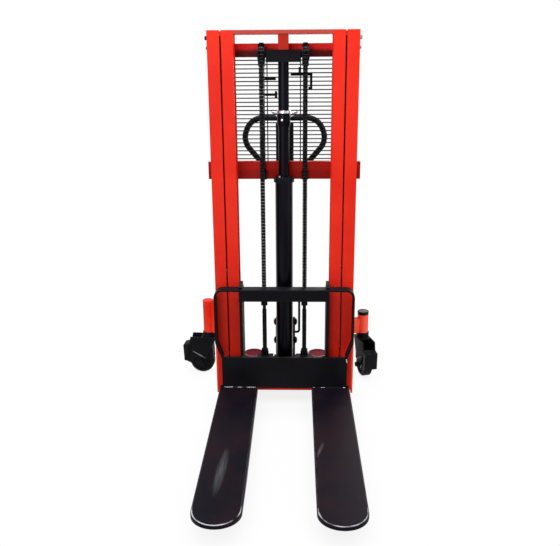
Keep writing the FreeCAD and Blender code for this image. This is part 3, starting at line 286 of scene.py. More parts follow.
def crimson_enamel():
    # Brushed enamel on the round base caps: a deeper red that has lost its gloss.
    return paint("crimson_enamel", ("#74091E", "#8A102A"), (0.5, 0.62), peel_mm=6, drift_mm=60,
                 Specular_IOR_Level=0.05)


def highlight_rim_enamel():
    # The same enamel painted a pale, dusty pink on a pressed rim: a painted highlight along the rim.
    return paint("highlight_rim_enamel", ("#8A4A58", "#A87C86"), (0.35, 0.5), peel_mm=5, drift_mm=25,
                 Specular_IOR_Level=0.3)


def black_enamel():
    # Black stoving enamel on rolled steel: blue-black, semi-matt, thin where edges are rubbed.
    # The real peel is about 1 mm across; it is drawn at 5 mm so that it shows.
    return paint("black_stoving_enamel", ("#08080C", "#0F0F14"), (0.5, 0.66), peel_mm=5, drift_mm=90,
                 worn="#26262D", Specular_IOR_Level=0.08)


def wire_enamel():
    # Dipped black enamel on drawn wire: matt grey-black, with thicker and thinner runs.
    return paint("dipped_wire_enamel", ("#151517", "#212124"), (0.5, 0.65), peel_mm=8, drift_mm=40,
                 Specular_IOR_Level=0.08)


def rib_highlight_enamel():
    # The same black enamel painted grey on a pressed rib, with pale streaks: a painted highlight along the
    # rib.
    return paint("pale_rib_highlight_enamel", ("#3C3C42", "#7C7D82"), (0.4, 0.55), peel_mm=5, drift_mm=14,
                 Specular_IOR_Level=0.2)


# The marks that pallets rub on the forks: middle in m, half width and half length in mm, turn in degrees
FORK_SMEARS = (((-0.172, -0.36), (19, 150), -3), ((0.167, -0.225), (7, 55), -14))
# Grit drags streaks of this size in the marks.
STREAK_MM = (4, 90, 4)
# Bare metal grey: the pallets' real marks, and a painted highlight on the forks' rolled edges.
BARE_METAL_AND_HIGHLIGHT = "#B4B6C0"


def smear(tree, place, centre, half_mm, turn):
    """A soft mark on a fork's top that fades from its middle."""
    half = (*(size * MM for size in half_mm), 1)
    inside = add_node(tree, "ShaderNodeMapping",
                      {"Vector": place, "Location": (*centre, FORK_TOP), "Scale": half,
                       "Rotation": (0, 0, math.radians(turn))}, vector_type="TEXTURE")
    fade = add_node(tree, "ShaderNodeTexGradient", {"Vector": inside.outputs["Vector"]},
                    gradient_type="SPHERICAL")
    return fade.outputs["Fac"]


def lip_highlight(tree, place):
    """A mask for the painted highlight on the rolled edge of a fork, where it starts to turn down, most of
    all round the nose.
    """
    tilt = along(tree, face_normal(tree), "Z")
    turned_in = ranged(tree, tilt, (0.72, 0.84))
    turned_out = ranged(tree, tilt, (0.94, 0.99), (1.0, 0.0))
    lip = combine(tree, "MULTIPLY", turned_in, turned_out)
    nose_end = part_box("fork_left")[0].y + 100 * MM
    nose = ranged(tree, along(tree, place, "Y"), (nose_end - 30 * MM, nose_end), (1.0, 0.05))
    broken = ranged(tree, noise(tree, place, size_mm=60, detail=2.0), (0.36, 0.56))
    return combine(tree, "MULTIPLY", combine(tree, "MULTIPLY", lip, broken), nose)


def scuffed_fork_enamel():
    """Black enamel on the forks: blue and brown drift, a pallet's smear on each, and a painted highlight in
    bare-metal grey along the rolled edge.
    """
    material, tree, shader, place = new_material("scuffed_fork_enamel", IOR=RESIN_IOR,
                                                 Specular_IOR_Level=0.06)
    drift = noise(tree, place, size_mm=150, detail=4.0)
    tone = two_tone(tree, shader, drift, ("#05050E", "#150A10"))
    marks = combine(tree, "MAXIMUM", *(smear(tree, place, *mark) for mark in FORK_SMEARS))
    grit = worked_noise(tree, place, tuple(per_metre(size) for size in STREAK_MM), detail=3.0)
    rubbed = combine(tree, "MULTIPLY", marks, ranged(tree, grit, NOISE_SPAN, (0.05, 0.2)))
    overlay(tree, shader, combine(tree, "MAXIMUM", rubbed, lip_highlight(tree, place)), tone, colour(BARE_METAL_AND_HIGHLIGHT))
    uneven_gloss(tree, shader, drift, (0.42, 0.58), WHOLE)
    skin(tree, shader, grit, depth_mm=0.1)
    return material


def metal(name, tones, roughness, patch_mm, bump_mm=0.05, stretch=(1, 1, 1), edge_mm=0.5):
    """Bare metal: tones and gloss that drift in patches, stretched along the way that it was worked."""
    material, tree, shader, place = new_material(name, Metallic=1.0)
    patches = worked_noise(tree, place, tuple(per_metre(patch_mm) * share for share in stretch), detail=4.0)
    two_tone(tree, shader, patches, tones)
    uneven_gloss(tree, shader, patches, roughness)
    skin(tree, shader, patches, bump_mm, edge_mm)
    return material


def oiled_chain_steel():
    # Heat-treated chain links in lubricating oil: dark, brownish, with wet patches about 9 mm across.
    return metal("oiled_chain_steel", ("#0C0B0E", "#1F1D1E"), (0.25, 0.45), patch_mm=9)


def turned_steel():
    # Pins, washers and axles turned on a lathe: pale grey with fine rings about 1 mm apart, drawn at 3 mm.
    return metal("turned_steel", ("#8E9094", "#B9BABD"), (0.25, 0.42), patch_mm=3, stretch=(1, 0.2, 0.2))


def chrome_plate():
    # Bright chrome on a pressed lever: mirror gloss with faint finger marks.
    return metal("chrome_plate", ("#C9CCD0", "#E6E8EA"), (0.05, 0.16), patch_mm=25, bump_mm=0.02, edge_mm=1)


def zinc_plate():
    # Zinc-plated nuts and bolts: pale, slightly blue, with cloudy crystals.
    return metal("zinc_plate", ("#7F8288", "#A8ABAF"), (0.3, 0.45), patch_mm=6, edge_mm=0.4)


def black_oxide():
    # Blackened and polished lift cylinder and rod: blue-black steel that mirrors in long streaks.
    return metal("black_oxide_steel", ("#111116", "#1A1A20"), (0.22, 0.34), patch_mm=30, bump_mm=0.02,
                 stretch=(1, 1, 0.1))


def ground_steel():
    # Weld tops ground bare: bright, with short coarse scratches.
    return metal("ground_steel", ("#A9ABB0", "#D9DADC"), (0.3, 0.5), patch_mm=4)


def greased_steel():
    # Rollers and guide faces that run in grease: dark, wet, brownish grey.
    return metal("greased_steel", ("#1A1918", "#33302C"), (0.2, 0.45), patch_mm=12)


def moulded(name, tones, roughness, grain_mm, grain_depth, edge_mm):
    """Moulded or cast polymer: an even tone with a fine mould grain."""
    material, tree, shader, place = new_material(name, IOR=RESIN_IOR, Specular_IOR_Level=0.07)
    patches = noise(tree, place, size_mm=40, detail=2.0)
    two_tone(tree, shader, patches, tones)
    uneven_gloss(tree, shader, patches, roughness)
    skin(tree, shader, noise(tree, place, grain_mm, detail=3.0), grain_depth, edge_mm)
    return material


def cast_polyurethane():
    # Cast polyurethane tyres: black, satin, dusty where they roll.
    return moulded("cast_polyurethane", ("#101012", "#1B1B1D"), (0.4, 0.62),
                   grain_mm=4, grain_depth=0.3, edge_mm=1)


def moulded_nylon():
    # Injection-moulded nylon pads, caps and pedals: black with a fine eroded grain, drawn at 2 mm.
    return moulded("moulded_nylon", ("#0D0D10", "#151518"), (0.35, 0.5),
                   grain_mm=2, grain_depth=0.2, edge_mm=1.2)


def seen_directly(tree):
    """1 for rays from the camera, a mirror or glass, 0 for the light that falls on the object."""
    path = add_node(tree, "ShaderNodeLightPath").outputs
    mirrored = combine(tree, "MAXIMUM", path["Is Camera Ray"], path["Is Glossy Ray"])
    return combine(tree, "MAXIMUM", mirrored, path["Is Transmission Ray"])


FINISHES = {
    "red": red_powder_coat(),
    "left_lit_red": left_lit_red_coat(),
    "right_lit_red": right_lit_red_coat(),
    # Painted sheen: the top plate's front turns a greyer pink towards its top.
    "sheen_top": graded_red("top_plate_with_painted_sheen", "mast_top_plate", ("#E23622", "#AE443D"), (0.72, 0.84)),
    # Painted light and shade: the top beam's front runs from near black low down, in the shade under the top
    # plate, to a bright red on its lit top.
    "top_beam": graded_red("shaded_top_beam", "top_beam", ("#580401", "#FF2C26")),
    # Painted shade: the middle beam's front is a deep red for the shade it lies in, set back behind the
    # columns under the top plate.
    "mid_beam": graded_red("shaded_mid_beam", "mid_beam", ("#8E0E04", "#A8140A")),
    "crimson": crimson_enamel(),
    "rim": highlight_rim_enamel(),
    "black": black_enamel(),
    "wire": wire_enamel(),
    # The rubbed finish is a painted highlight: pale grey paint on the yoke ribs.
    "rubbed": rib_highlight_enamel(),
    "fork": scuffed_fork_enamel(),
    "chain": oiled_chain_steel(),
    "turned": turned_steel(),
    "chrome": chrome_plate(),
    "zinc": zinc_plate(),
    "oxide": black_oxide(),
    "greased": greased_steel(),
    "ground": ground_steel(),
    "tyre": cast_polyurethane(),
    "nylon": moulded_nylon(),
}
# The finish of each record slot, and of the nodes that differ from their slot
SLOT_FINISH = {"red_paint": "red", "black_paint": "black", "chain_steel": "chain", "bright_steel": "turned",
               "nylon": "nylon", "wheel_tread": "tyre", "chrome": "chrome"}
NODE_FINISH = {
    "top_beam": "top_beam", "mid_beam": "mid_beam", "mast_top_plate": "sheen_top",
    "caster_bracket_left": "left_lit_red", "caster_bracket_right": "right_lit_red", "base_caps": "crimson",
    "fork_left": "fork", "fork_right": "fork", "guard_mesh": "wire",
    "tiller_lugs": "black", "tiller_pins": "black", "piston_rod": "oxide", "cylinder_barrel": "oxide",
    "mast_rollers_low": "greased", "mast_rollers_high": "greased",
    "carriage_rollers_low": "greased", "carriage_rollers_high": "greased",
    "brake_pedal_left": "nylon", "brake_pedal_right": "nylon",
}


def dress():
    """Give each CAD node its finish."""
    for part in frame["record"]["subparts"]:
        finish = NODE_FINISH.get(part["node"], SLOT_FINISH[part["material_slot"]])
        mesh = nodes[part["node"]].data
        mesh.materials.clear()
        mesh.materials.append(FINISHES[finish])


# Building blocks

BEAD_STEPS = 10


def turn_to(axis):
    """Rotation that carries +Z to an axis."""
    return Z.rotation_difference(Vector(axis)).to_matrix().to_4x4()


def in_metres(points_mm):
    return [(first * MM, second * MM) for first, second in points_mm]


def add_lathe(bm, profile, place, axis, steps=40, start=0.0):
    """Turn (along, radius) points about an axis through a place; a radius of 0 closes an end."""
    at = Matrix.Translation(place) @ turn_to(axis)
    rings = []
    for along_axis, radius in profile:
        turns = [start + 2 * math.pi * step / steps for step in range(steps)] if radius else [0]
        points = [Vector((radius * math.cos(turn), radius * math.sin(turn), along_axis)) for turn in turns]
        rings.append([bm.verts.new(at @ point) for point in points])
    for low, high in zip(rings, rings[1:]):
        for step in range(steps):
            around = ((low, step), (low, step + 1), (high, step + 1), (high, step))
            corners = list(dict.fromkeys(ring[at_step % len(ring)] for ring, at_step in around))
            if len(corners) > 2:
                bm.faces.new(corners)


def add_ring(bm, profile, place, axis, steps=40):
    """Turn a closed (along, radius) section about an axis: a washer, tyre or collar."""
    add_lathe(bm, profile + profile[:1], place, axis, steps)


def add_prism(bm, outline, place, axes, depth):
    """An outline in the plane of two axes, as deep as given along the third, on both sides of its plane."""
    across, up, through = (Vector(axis) for axis in axes)
    front, back = ([bm.verts.new(Vector(place) + across * u + up * v + through * side) for u, v in outline]
                   for side in (-depth / 2, depth / 2))
    bm.faces.new(front)
    bm.faces.new(back[::-1])
    for step in range(len(outline)):
        ahead = (step + 1) % len(outline)
        bm.faces.new([front[step], back[step], back[ahead], front[ahead]])


def arc(centre, radius, first, last, steps):
    """Points of an arc, in degrees."""
    turns = [math.radians(first + (last - first) * step / steps) for step in range(steps + 1)]
    return [(centre[0] + radius * math.cos(turn), centre[1] + radius * math.sin(turn)) for turn in turns]


def add_hex(bm, place, axis, flats_mm, height_mm, start=0.0):
    """A hexagon head or nut with its corners chamfered."""
    corner = flats_mm * MM / math.sqrt(3)
    height = height_mm * MM
    chamfer = corner * 0.12
    profile = [(0, 0), (0, corner), (height - chamfer / 2, corner), (height, corner - chamfer), (height, 0)]
    add_lathe(bm, profile, place, axis, steps=6, start=start)


def add_washer(bm, place, axis, radius_mm, thick_mm):
    radius, thick = radius_mm * MM, thick_mm * MM
    profile = [(0, 0), (0, radius), (thick * 0.8, radius), (thick, radius - thick * 0.2), (thick, 0)]
    add_lathe(bm, profile, place, axis)


def add_bolt(bm, place, axis, flats_mm, height_mm):
    """A hexagon head on its washer."""
    axis = Vector(axis)
    thick_mm = height_mm * 0.2
    add_washer(bm, place, axis, flats_mm * 0.75, thick_mm)
    add_hex(bm, Vector(place) + axis * thick_mm * MM, axis, flats_mm, height_mm)


def add_bead(bm, start, end, radius_mm):
    """A weld bead along a line, in overlapping ripples a little shorter than its radius."""
    start, end = Vector(start), Vector(end)
    radius = radius_mm * MM
    length = (end - start).length
    ripples = max(3, round(length / (radius * 0.9)))
    profile = [(0, 0)]
    for ripple in range(ripples):
        profile += [(length * (ripple + share) / ripples, radius * swell)
                    for share, swell in ((0.1, 0.8), (0.5, 1.0), (0.9, 0.86))]
    add_lathe(bm, profile + [(length, 0)], start, end - start, BEAD_STEPS)


def make_piece(name, bm, finish, body):
    """Turn built geometry into a piece that rides on a body."""
    bmesh.ops.recalc_face_normals(bm, faces=bm.faces)
    mesh = bpy.data.meshes.new(name)
    bm.to_mesh(mesh)
    bm.free()
    mesh.polygons.foreach_set("use_smooth", [True] * len(mesh.polygons))
    mesh.set_sharp_from_angle(angle=math.radians(35))
    mesh.materials.append(FINISHES[finish])
    piece = bpy.data.objects.new(name, mesh)
    bpy.context.scene.collection.objects.link(piece)
    if body:
        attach(piece, body)
    return piece


# Lift chains

PITCH = 12.7 * MM
PLATE_HALF = 4.4 * MM
PLATE_END = 5.9 * MM
LEAF_STEP = 1.95 * MM
LEAF_THICK = 1.75 * MM
LEAVES = 9
PIN_RADIUS = 2.1 * MM
PIN_HALF = 8.9 * MM
PIN_STEPS = 10
CHAIN_RADIUS = 40 * MM
CHAIN_CLEARANCE = 0.5 * MM


def add_link(bm, place, run, through, outer, pitch):
    """One leaf-chain link about its middle: every other leaf of the pack, and the pin at its far end."""
    axes = (run, through.cross(run), through)
    waist = PLATE_HALF * 0.74
    half = pitch / 2
    end = [(half + ahead * PLATE_END, across * PLATE_HALF) for ahead, across in arc((0, 0), 1, -100, 100, 8)]
    outline = end + [(0, waist)] + [(-ahead, -across) for ahead, across in end] + [(0, -waist)]
    for leaf in range(0 if outer else 1, LEAVES, 2):
        add_prism(bm, outline, place + through * LEAF_STEP * (leaf - (LEAVES - 1) / 2), axes, LEAF_THICK)
    head = PIN_HALF - PIN_RADIUS / 3
    tip = PIN_RADIUS * 0.7
    profile = [(-PIN_HALF, 0), (-PIN_HALF, tip), (-head, PIN_RADIUS), (head, PIN_RADIUS), (PIN_HALF, tip),
               (PIN_HALF, 0)]
    add_lathe(bm, profile, place + run * half, through, PIN_STEPS)


def strand(node, top, top_is_outer):
    """The links of a straight run, from the node's foot to a height."""
    low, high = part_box(node)
    bm = bmesh.new()
    count = round((top - low.z - 2 * PLATE_END) / PITCH)
    pitch = (top - low.z - 2 * PLATE_END) / count
    centre = (low + high) / 2
    for step in range(count):
        place = Vector((centre.x, centre.y, low.z + PLATE_END + pitch * (step + 1 / 2)))
        add_link(bm, place, Z, X, top_is_outer == ((count - 1 - step) % 2 == 0), pitch)
    return bm


def front_strand(side):
    """The run from the carriage up to a sheave, built at rest; in the real mast it shortens as the carriage
    rises.
    """
    node = "chain_front_" + side
    # The run ends just under the sheave's first link, so that its shortened links stay clear of that link.
    top = middle("chain_sheave_" + side).z - PLATE_END - CHAIN_CLEARANCE
    links = strand(node, top, True)
    front = make_piece("lift_chain_front_" + side, links, "chain", "carriage")
    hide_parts(node)
    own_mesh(front)


def rear_strand(side):
    """The run from a sheave down to its anchor on the middle beam, built at rest; in the real mast it
    lengthens as the mast rises.
    """
    node = "chain_rear_" + side
    low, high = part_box(node)
    rear = make_piece("lift_chain_rear_" + side, strand(node, high.z, False), "chain", None)
    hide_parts(node)
    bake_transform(rear)


def chain_wraps():
    """The links that lie on the upper half of both sheaves."""
    bm = bmesh.new()
    count = round(math.pi * CHAIN_RADIUS / PITCH)
    for side in SIDES:
        centre = middle("chain_sheave_" + side)
        for step in range(count):
            turn = math.pi * (step + 1 / 2) / count
            out = Vector((0, -math.cos(turn), math.sin(turn)))
            add_link(bm, centre + out * CHAIN_RADIUS, X.cross(out), X, step % 2 == 1, PITCH)
    wraps = make_piece("lift_chain_wraps", bm, "chain", "inner_mast")
    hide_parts("chain_wraps")


def lift_chains():
    for side in SIDES:
        front_strand(side)
        rear_strand(side)
    chain_wraps()


# Mast and lift cylinder

MID_Y = (MAST_FRONT + MAST_REAR) / 2
LIFT = middle("piston_rod")
ROD_RADIUS = 21 * MM
COUPLING_FOOT = 1.166
COUPLING_HEIGHT = 46 * MM
# How far a beam's welds reach over a column, from its outer face
BEAM_WELD_REACH = (4 * MM, 44 * MM)


def column_top_bolts():
    """The bolts of the upper guide pads, in the outer faces of the columns: dark left, bright right."""
    for side, finish in (("left", "black"), ("right", "zinc")):
        bm = bmesh.new()
        face = MAST_MIDDLE + SIDES[side] * MAST_HALF
        for drop_mm, back_mm, flats_mm in ((27, -20, 13), (62, 10, 10)):
            place = Vector((face, MID_Y + back_mm * MM, MAST_TOP - drop_mm * MM))
            add_bolt(bm, place, X * SIDES[side], flats_mm, height_mm=8)
        make_piece("guide_pad_bolts_" + side, bm, finish, "chassis")


def gland_rings():
    """The gland nut's wiper ring, its spanner lugs and the bleed screw at its front."""
    low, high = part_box("cylinder_gland")
    top = Vector((LIFT.x, LIFT.y, high.z))
    radius = (high.x - low.x) / 2
    inside = ROD_RADIUS + 1 * MM
    bm = bmesh.new()
    add_ring(bm, [(0, inside), (0, radius * 0.82), (4 * MM, radius * 0.8), (7 * MM, radius * 0.66),
                  (7 * MM, inside)], top, Z, steps=48)
    for turn in range(30, 390, 60):
        out = Matrix.Rotation(math.radians(turn), 3, "Z") @ X
        place = middle("cylinder_gland") + out * radius
        add_prism(bm, in_metres([(-6, -7), (6, -7), (5, 7), (-5, 7)]), place, (Z.cross(out), Z, out), 3 * MM)
    make_piece("gland_wiper_ring", bm, "oxide", "chassis")
    bm = bmesh.new()
    add_hex(bm, top + Vector((-radius * 0.4, -radius * 0.62, 2 * MM)), Z, flats_mm=8, height_mm=6)
    make_piece("gland_bleed_screw", bm, "zinc", "chassis")


def rod_coupling():
    """The coupling that joins the rod's two lengths: a black sleeve under a bright ring, with a nipple."""
    foot = Vector((LIFT.x, LIFT.y, COUPLING_FOOT))
    inside = ROD_RADIUS - 1 * MM
    bm = bmesh.new()
    add_ring(bm, [(0, inside), *in_metres([(0, 24), (3, 26), (42, 26)]), (COUPLING_HEIGHT, 24 * MM),
                  (COUPLING_HEIGHT, inside)], foot, Z, steps=48)
    make_piece("rod_coupling", bm, "oxide", "inner_mast")
    bm = bmesh.new()
    add_ring(bm, [(0, inside), *in_metres([(0, 25), (2, 27), (10, 27), (13, 24)]), (13 * MM, inside)],
             foot + Z * COUPLING_HEIGHT, Z, steps=48)
    add_lathe(bm, in_metres([(0, 0), (0, 5), (4, 5), (6, 3), (9, 3.2), (10, 0)]),
              foot + Vector((-6 * MM, -25 * MM, 22 * MM)), -Y, steps=20)
    make_piece("rod_lock_ring", bm, "chrome", "inner_mast")


def sheave_pins():
    """Plain washers, circlips and the turned ends of both sheave pins."""
    bm = bmesh.new()
    for side, way in SIDES.items():
        low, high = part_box("chain_sheave_" + side)
        place = middle("chain_sheave_" + side)
        place.x = high.x if way > 0 else low.x
        add_washer(bm, place, X * way, radius_mm=16, thick_mm=2)
        add_ring(bm, in_metres([(2, 7), (2, 10.5), (3.4, 10.5), (3.4, 7)]), place, X * way, steps=28)
        add_lathe(bm, in_metres([(2, 0), (2, 8), (5, 8), (6, 7), (6, 0)]), place, X * way, steps=28)
    make_piece("sheave_pin_ends", bm, "greased", "inner_mast")


def mast_welds():
    """Weld beads where the beams lie on the columns and where the top plate meets them."""
    bm = bmesh.new()
    for node in ("top_beam", "mid_beam"):
        low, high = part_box(node)
        for way in SIDES.values():
            edge, inner = (MAST_MIDDLE + way * (MAST_HALF - reach) for reach in BEAM_WELD_REACH)
            for z in (low.z, high.z):
                add_bead(bm, (inner, low.y, z), (edge, low.y, z), radius_mm=3)
    make_piece("mast_weld_beads", bm, "red", "chassis")
    bm = bmesh.new()
    low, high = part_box("mast_top_plate")
    for x in (low.x, high.x):
        foot = Vector((x, low.y + 1 * MM, low.z + 2 * MM))
        add_bead(bm, foot, foot + Z * 18 * MM, radius_mm=2.5)
    make_piece("top_plate_welds", bm, "red", "inner_mast")


# Carriage and forks

ANCHOR_WASHER_MM = 3
LOCK_NUT_FOOT_MM = 21
THREAD_PITCH = 4 * MM
# Root and crest of the anchor rods' thread: place along a turn, and radius in mm
THREAD = ((0.0, 8.4), (0.5, 9.2))
HEEL_REACH = 0.265
HEEL_MARGIN = 4 * MM
# Where the heel welds are ground bright: from and to, as shares of the heel, and a radius in mm
HEEL_GRINDS = {"left": ((0.05, 0.3, 1.5), (0.44, 0.58, 1.2), (0.72, 0.98, 1.3)),
               "right": ((0.01, 0.06, 1.6), (0.24, 0.36, 1.0), (0.9, 0.97, 1.6))}


def anchor_threads():
    """The threads of both chain anchor rods, with a nut and washer on the shelf and a lock nut above."""
    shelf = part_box("anchor_shelf")[1].z
    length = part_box("chain_anchor_rods")[1].z - shelf - 35 * MM
    turns = round(length / THREAD_PITCH)
    profile = [(0, 0)]
    for turn in range(turns):
        profile += [(length * (turn + share) / turns, radius_mm * MM) for share, radius_mm in THREAD]
    profile += [(length, THREAD[0][1] * MM), (length, 0)]
    bm = bmesh.new()
    nuts = bmesh.new()
    for side in SIDES:
        chain = middle("chain_front_" + side)
        foot = Vector((chain.x, chain.y, shelf))
        add_lathe(bm, profile, foot, Z, steps=18)
        add_washer(nuts, foot, Z, radius_mm=17, thick_mm=ANCHOR_WASHER_MM)
        add_hex(nuts, foot + Z * ANCHOR_WASHER_MM * MM, Z, flats_mm=27, height_mm=16)
        add_hex(nuts, foot + Z * LOCK_NUT_FOOT_MM * MM, Z, flats_mm=25, height_mm=9, start=0.3)
    make_piece("anchor_rod_threads", bm, "black", "carriage")
    make_piece("anchor_rod_nuts", nuts, "black", "carriage")


def fork_heel_welds():
    """Weld beads along both heels where the fork plate meets them, ground bright there and at its corner."""
    black, bright = bmesh.new(), bmesh.new()
    raised = Vector((0, -2.2 * MM, 2.2 * MM))
    for side in SIDES:
        low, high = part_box("fork_" + side)
        inner = max(low.x, MAST_MIDDLE - HEEL_REACH) + HEEL_MARGIN
        outer = min(high.x, MAST_MIDDLE + HEEL_REACH) - HEEL_MARGIN
        place = Vector((0, PLATE_FRONT, FORK_TOP))
        add_bead(black, place + X * inner, place + X * outer, radius_mm=3.5)
        for start, end, radius_mm in HEEL_GRINDS[side]:
            first, last = (place + X * (inner + (outer - inner) * share) + raised for share in (start, end))
            add_bead(bright, first, last, radius_mm)
    plate_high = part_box("fork_plate")[1]
    corner = Vector((plate_high.x - 4 * MM, PLATE_FRONT, plate_high.z - 5 * MM))
    add_bead(bright, corner, corner + Vector((3 * MM, 0, -16 * MM)), radius_mm=2)
    make_piece("fork_heel_welds", black, "black", "carriage")
    make_piece("ground_weld_spots", bright, "ground", "carriage")


def hoop_welds():
    """Weld beads of the hoop on the fork plate, the cross plate on the hoop, and the uprights behind both."""
    bm = bmesh.new()
    plate_low, plate_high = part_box("fork_plate")
    cross_low, cross_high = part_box("cross_plate")
    for side, way in SIDES.items():
        edge = plate_high.x if way > 0 else plate_low.x
        add_bead(bm, (edge - way * 10 * MM, PLATE_FRONT + 2 * MM, plate_high.z),
                 (edge - way * 1 * MM, PLATE_FRONT + 2 * MM, plate_high.z), radius_mm=2.5)
        upright = middle("carriage_upright_" + side).x - way * 22 * MM
        for z in (plate_high.z, cross_high.z, cross_low.z):
            add_bead(bm, (upright - 16 * MM, plate_high.y, z), (upright - 2 * MM, plate_high.y, z),
                     radius_mm=3)
    add_bead(bm, (cross_low.x + 4 * MM, PLATE_FRONT + 1 * MM, cross_high.z),
             (cross_high.x - 4 * MM, PLATE_FRONT + 1 * MM, cross_high.z), radius_mm=2)
    make_piece("carriage_weld_beads", bm, "black", "carriage")


def fork_axle_ends():
    """Turned ends on the load axles, outside the straddle legs, and bearing rings in the load wheels."""
    bm = bmesh.new()
    low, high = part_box("load_axles")
    axle = middle("load_wheel_left")
    for x, way in ((low.x, -1), (high.x, 1)):
        place = (x, axle.y, axle.z)
        add_lathe(bm, in_metres([(-1, 0), (-1, 9), (1.5, 9), (2.5, 8), (2.5, 0)]), place, X * way, steps=28)
    make_piece("load_axle_ends", bm, "turned", "chassis")
    for side in SIDES:
        bm = bmesh.new()
        low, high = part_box("load_wheel_" + side)
        axle = middle("load_wheel_" + side)
        for x, way in ((low.x, -1), (high.x, 1)):
            place = (x, axle.y, axle.z)
            add_ring(bm, in_metres([(-2, 10.5), (-2, 17), (0.4, 16), (0.4, 10.5)]), place, X * way, steps=32)
        make_piece("load_wheel_bearings_" + side, bm, "turned", "load_wheel_" + side)


# Base and casters

STEM_OUT = 74 * MM
STEM_BACK = 300 * MM
CASTER_TURN = {"left": 175, "right": -75}
CASTER_TRAIL = 35 * MM
CASTER_RADIUS = 56 * MM
CASTER_HALF = 21 * MM
YOKE_HALF = 30 * MM
SWIVEL_CUP_FOOT = 181 * MM
PEDAL_PIVOT = CASTER_TRAIL + 50 * MM
PEDAL_TOP_MM = 134
# The sheet of the brake skirts and wheel guards, and how far its middle lies from the wheel's
SHEET_THICK = 1.8 * MM
SHEET_OUT = 23.2 * MM
# The outline of a brake's side skirts and the ends of the rib pressed into each yoke side, in mm along and up
SKIRT = ((99, 122), (104, 60), (112, 58), (80, 42), (62, 95), (72, 118))
YOKE_RIB = ((79, 111), (16, 75))
# The outline of a wheel guard's sides, and of the web that joins them behind the wheel, with its width
GUARD = ((-15, 163), (-18, 110), (-19, 70), (-5, 62), (18, 72), (38, 100), (40, 163))
GUARD_WEB = ((-18, 86), (-16.2, 86), (-13.5, 163), (-15.3, 163))
GUARD_WEB_WIDTH = 44.6 * MM


def stem_place(side, height):
    return Vector((MAST_MIDDLE + SIDES[side] * (MAST_HALF + STEM_OUT), MAST_FRONT + STEM_BACK, height))


def caster_frame(side):
    """Where a caster stands: its stem over the floor, its trail along +X and its axle along Y."""
    return Matrix.Translation(stem_place(side, 0)) @ Matrix.Rotation(math.radians(CASTER_TURN[side]), 4, "Z")


def caster_wheels():
    """Ribbed hubs and bearing caps that turn with the wheels, and axle bolts that stay in the yokes."""
    axle = Vector((CASTER_TRAIL, 0, CASTER_RADIUS))
    for side in SIDES:
        hub, caps, bolts = bmesh.new(), bmesh.new(), bmesh.new()
        for way in SIDES.values():
            face = axle + Y * way * (CASTER_HALF - 6 * MM)
            for spoke in range(6):
                out = Matrix.Rotation(math.radians(60 * spoke), 3, "Y") @ X
                add_prism(hub, in_metres([(20, -2.5), (43, -2), (43, 2), (20, 2.5)]), face + Y * way * 2 * MM,
                          (out, Y.cross(out), Y), 4 * MM)
            add_ring(caps, in_metres([(0, 8), (0, 19), (1.5, 18), (2, 8)]), axle + Y * way * CASTER_HALF,
                     Y * way, steps=36)
            add_bolt(bolts, axle + Y * way * (YOKE_HALF + 5 * MM), Y * way, flats_mm=19, height_mm=8)
        for bm in (hub, caps, bolts):
            bm.transform(caster_frame(side))
        make_piece("caster_hub_ribs_" + side, hub, "nylon", "caster_wheel_" + side)
        make_piece("caster_bearing_caps_" + side, caps, "zinc", "caster_wheel_" + side)
        make_piece("caster_axle_bolts_" + side, bolts, "black", "caster_" + side)


def swivel_cups():
    """The pressed cup of the swivel bearing over each yoke."""
    for side in SIDES:
        bm = bmesh.new()
        add_ring(bm, in_metres([(0, 13), (0, 26), (3, 28), (7, 28), (10, 25), (10, 13)]),
                 stem_place(side, SWIVEL_CUP_FOOT), Z, steps=44)
        make_piece("swivel_cup_" + side, bm, "black", "caster_" + side)


def brake_treads():
    """Moulded ribs across the treads and the faces of both brake pedals."""
    tread_rib = in_metres([(-1.6, -1), (1.6, -1), (1.0, 1.6), (-1.0, 1.6)])
    face_rib = in_metres([(-1, -2), (1.5, -1.4), (1.5, 1.4), (-1, 2)])
    for side in SIDES:
        bm = bmesh.new()
        for rib in range(4):
            place = (PEDAL_PIVOT + (13 + rib * 6) * MM, 0, (PEDAL_TOP_MM + 9 - (4 + rib * 6) * 6 / 26) * MM)
            add_prism(bm, tread_rib, place, (X, Z, Y), 52 * MM)
        for rib in range(5):
            place = (PEDAL_PIVOT + (33 + 3 * rib * 12 / 74) * MM, 0, (72 + rib * 12) * MM)
            add_prism(bm, face_rib, place, (X, Z, Y), 50 * MM)
        bm.transform(caster_frame(side))
        make_piece("brake_pedal_ribs_" + side, bm, "nylon", "brake_" + side)


def wheel_sides(outline_mm):
    """A sheet on each side of a caster's wheel, inside its yoke."""
    bm = bmesh.new()
    for way in SIDES.values():
        add_prism(bm, in_metres(outline_mm), Y * way * SHEET_OUT, (X, Z, Y), SHEET_THICK)
    return bm


def brake_skirts():
    """Skirts that run from each brake pedal along both sides of the wheel."""
    for side in SIDES:
        bm = wheel_sides(SKIRT)
        bm.transform(caster_frame(side))
        make_piece("brake_skirts_" + side, bm, "nylon", "brake_" + side)


def wheel_guards():
    """A guard inside each yoke: two sides close to the wheel and a web behind its top."""
    for side in SIDES:
        bm = wheel_sides(GUARD)
        add_prism(bm, in_metres(GUARD_WEB), (0, 0, 0), (X, Z, Y), GUARD_WEB_WIDTH)
        bm.transform(caster_frame(side))
        make_piece("wheel_guard_" + side, bm, "black", "caster_" + side)


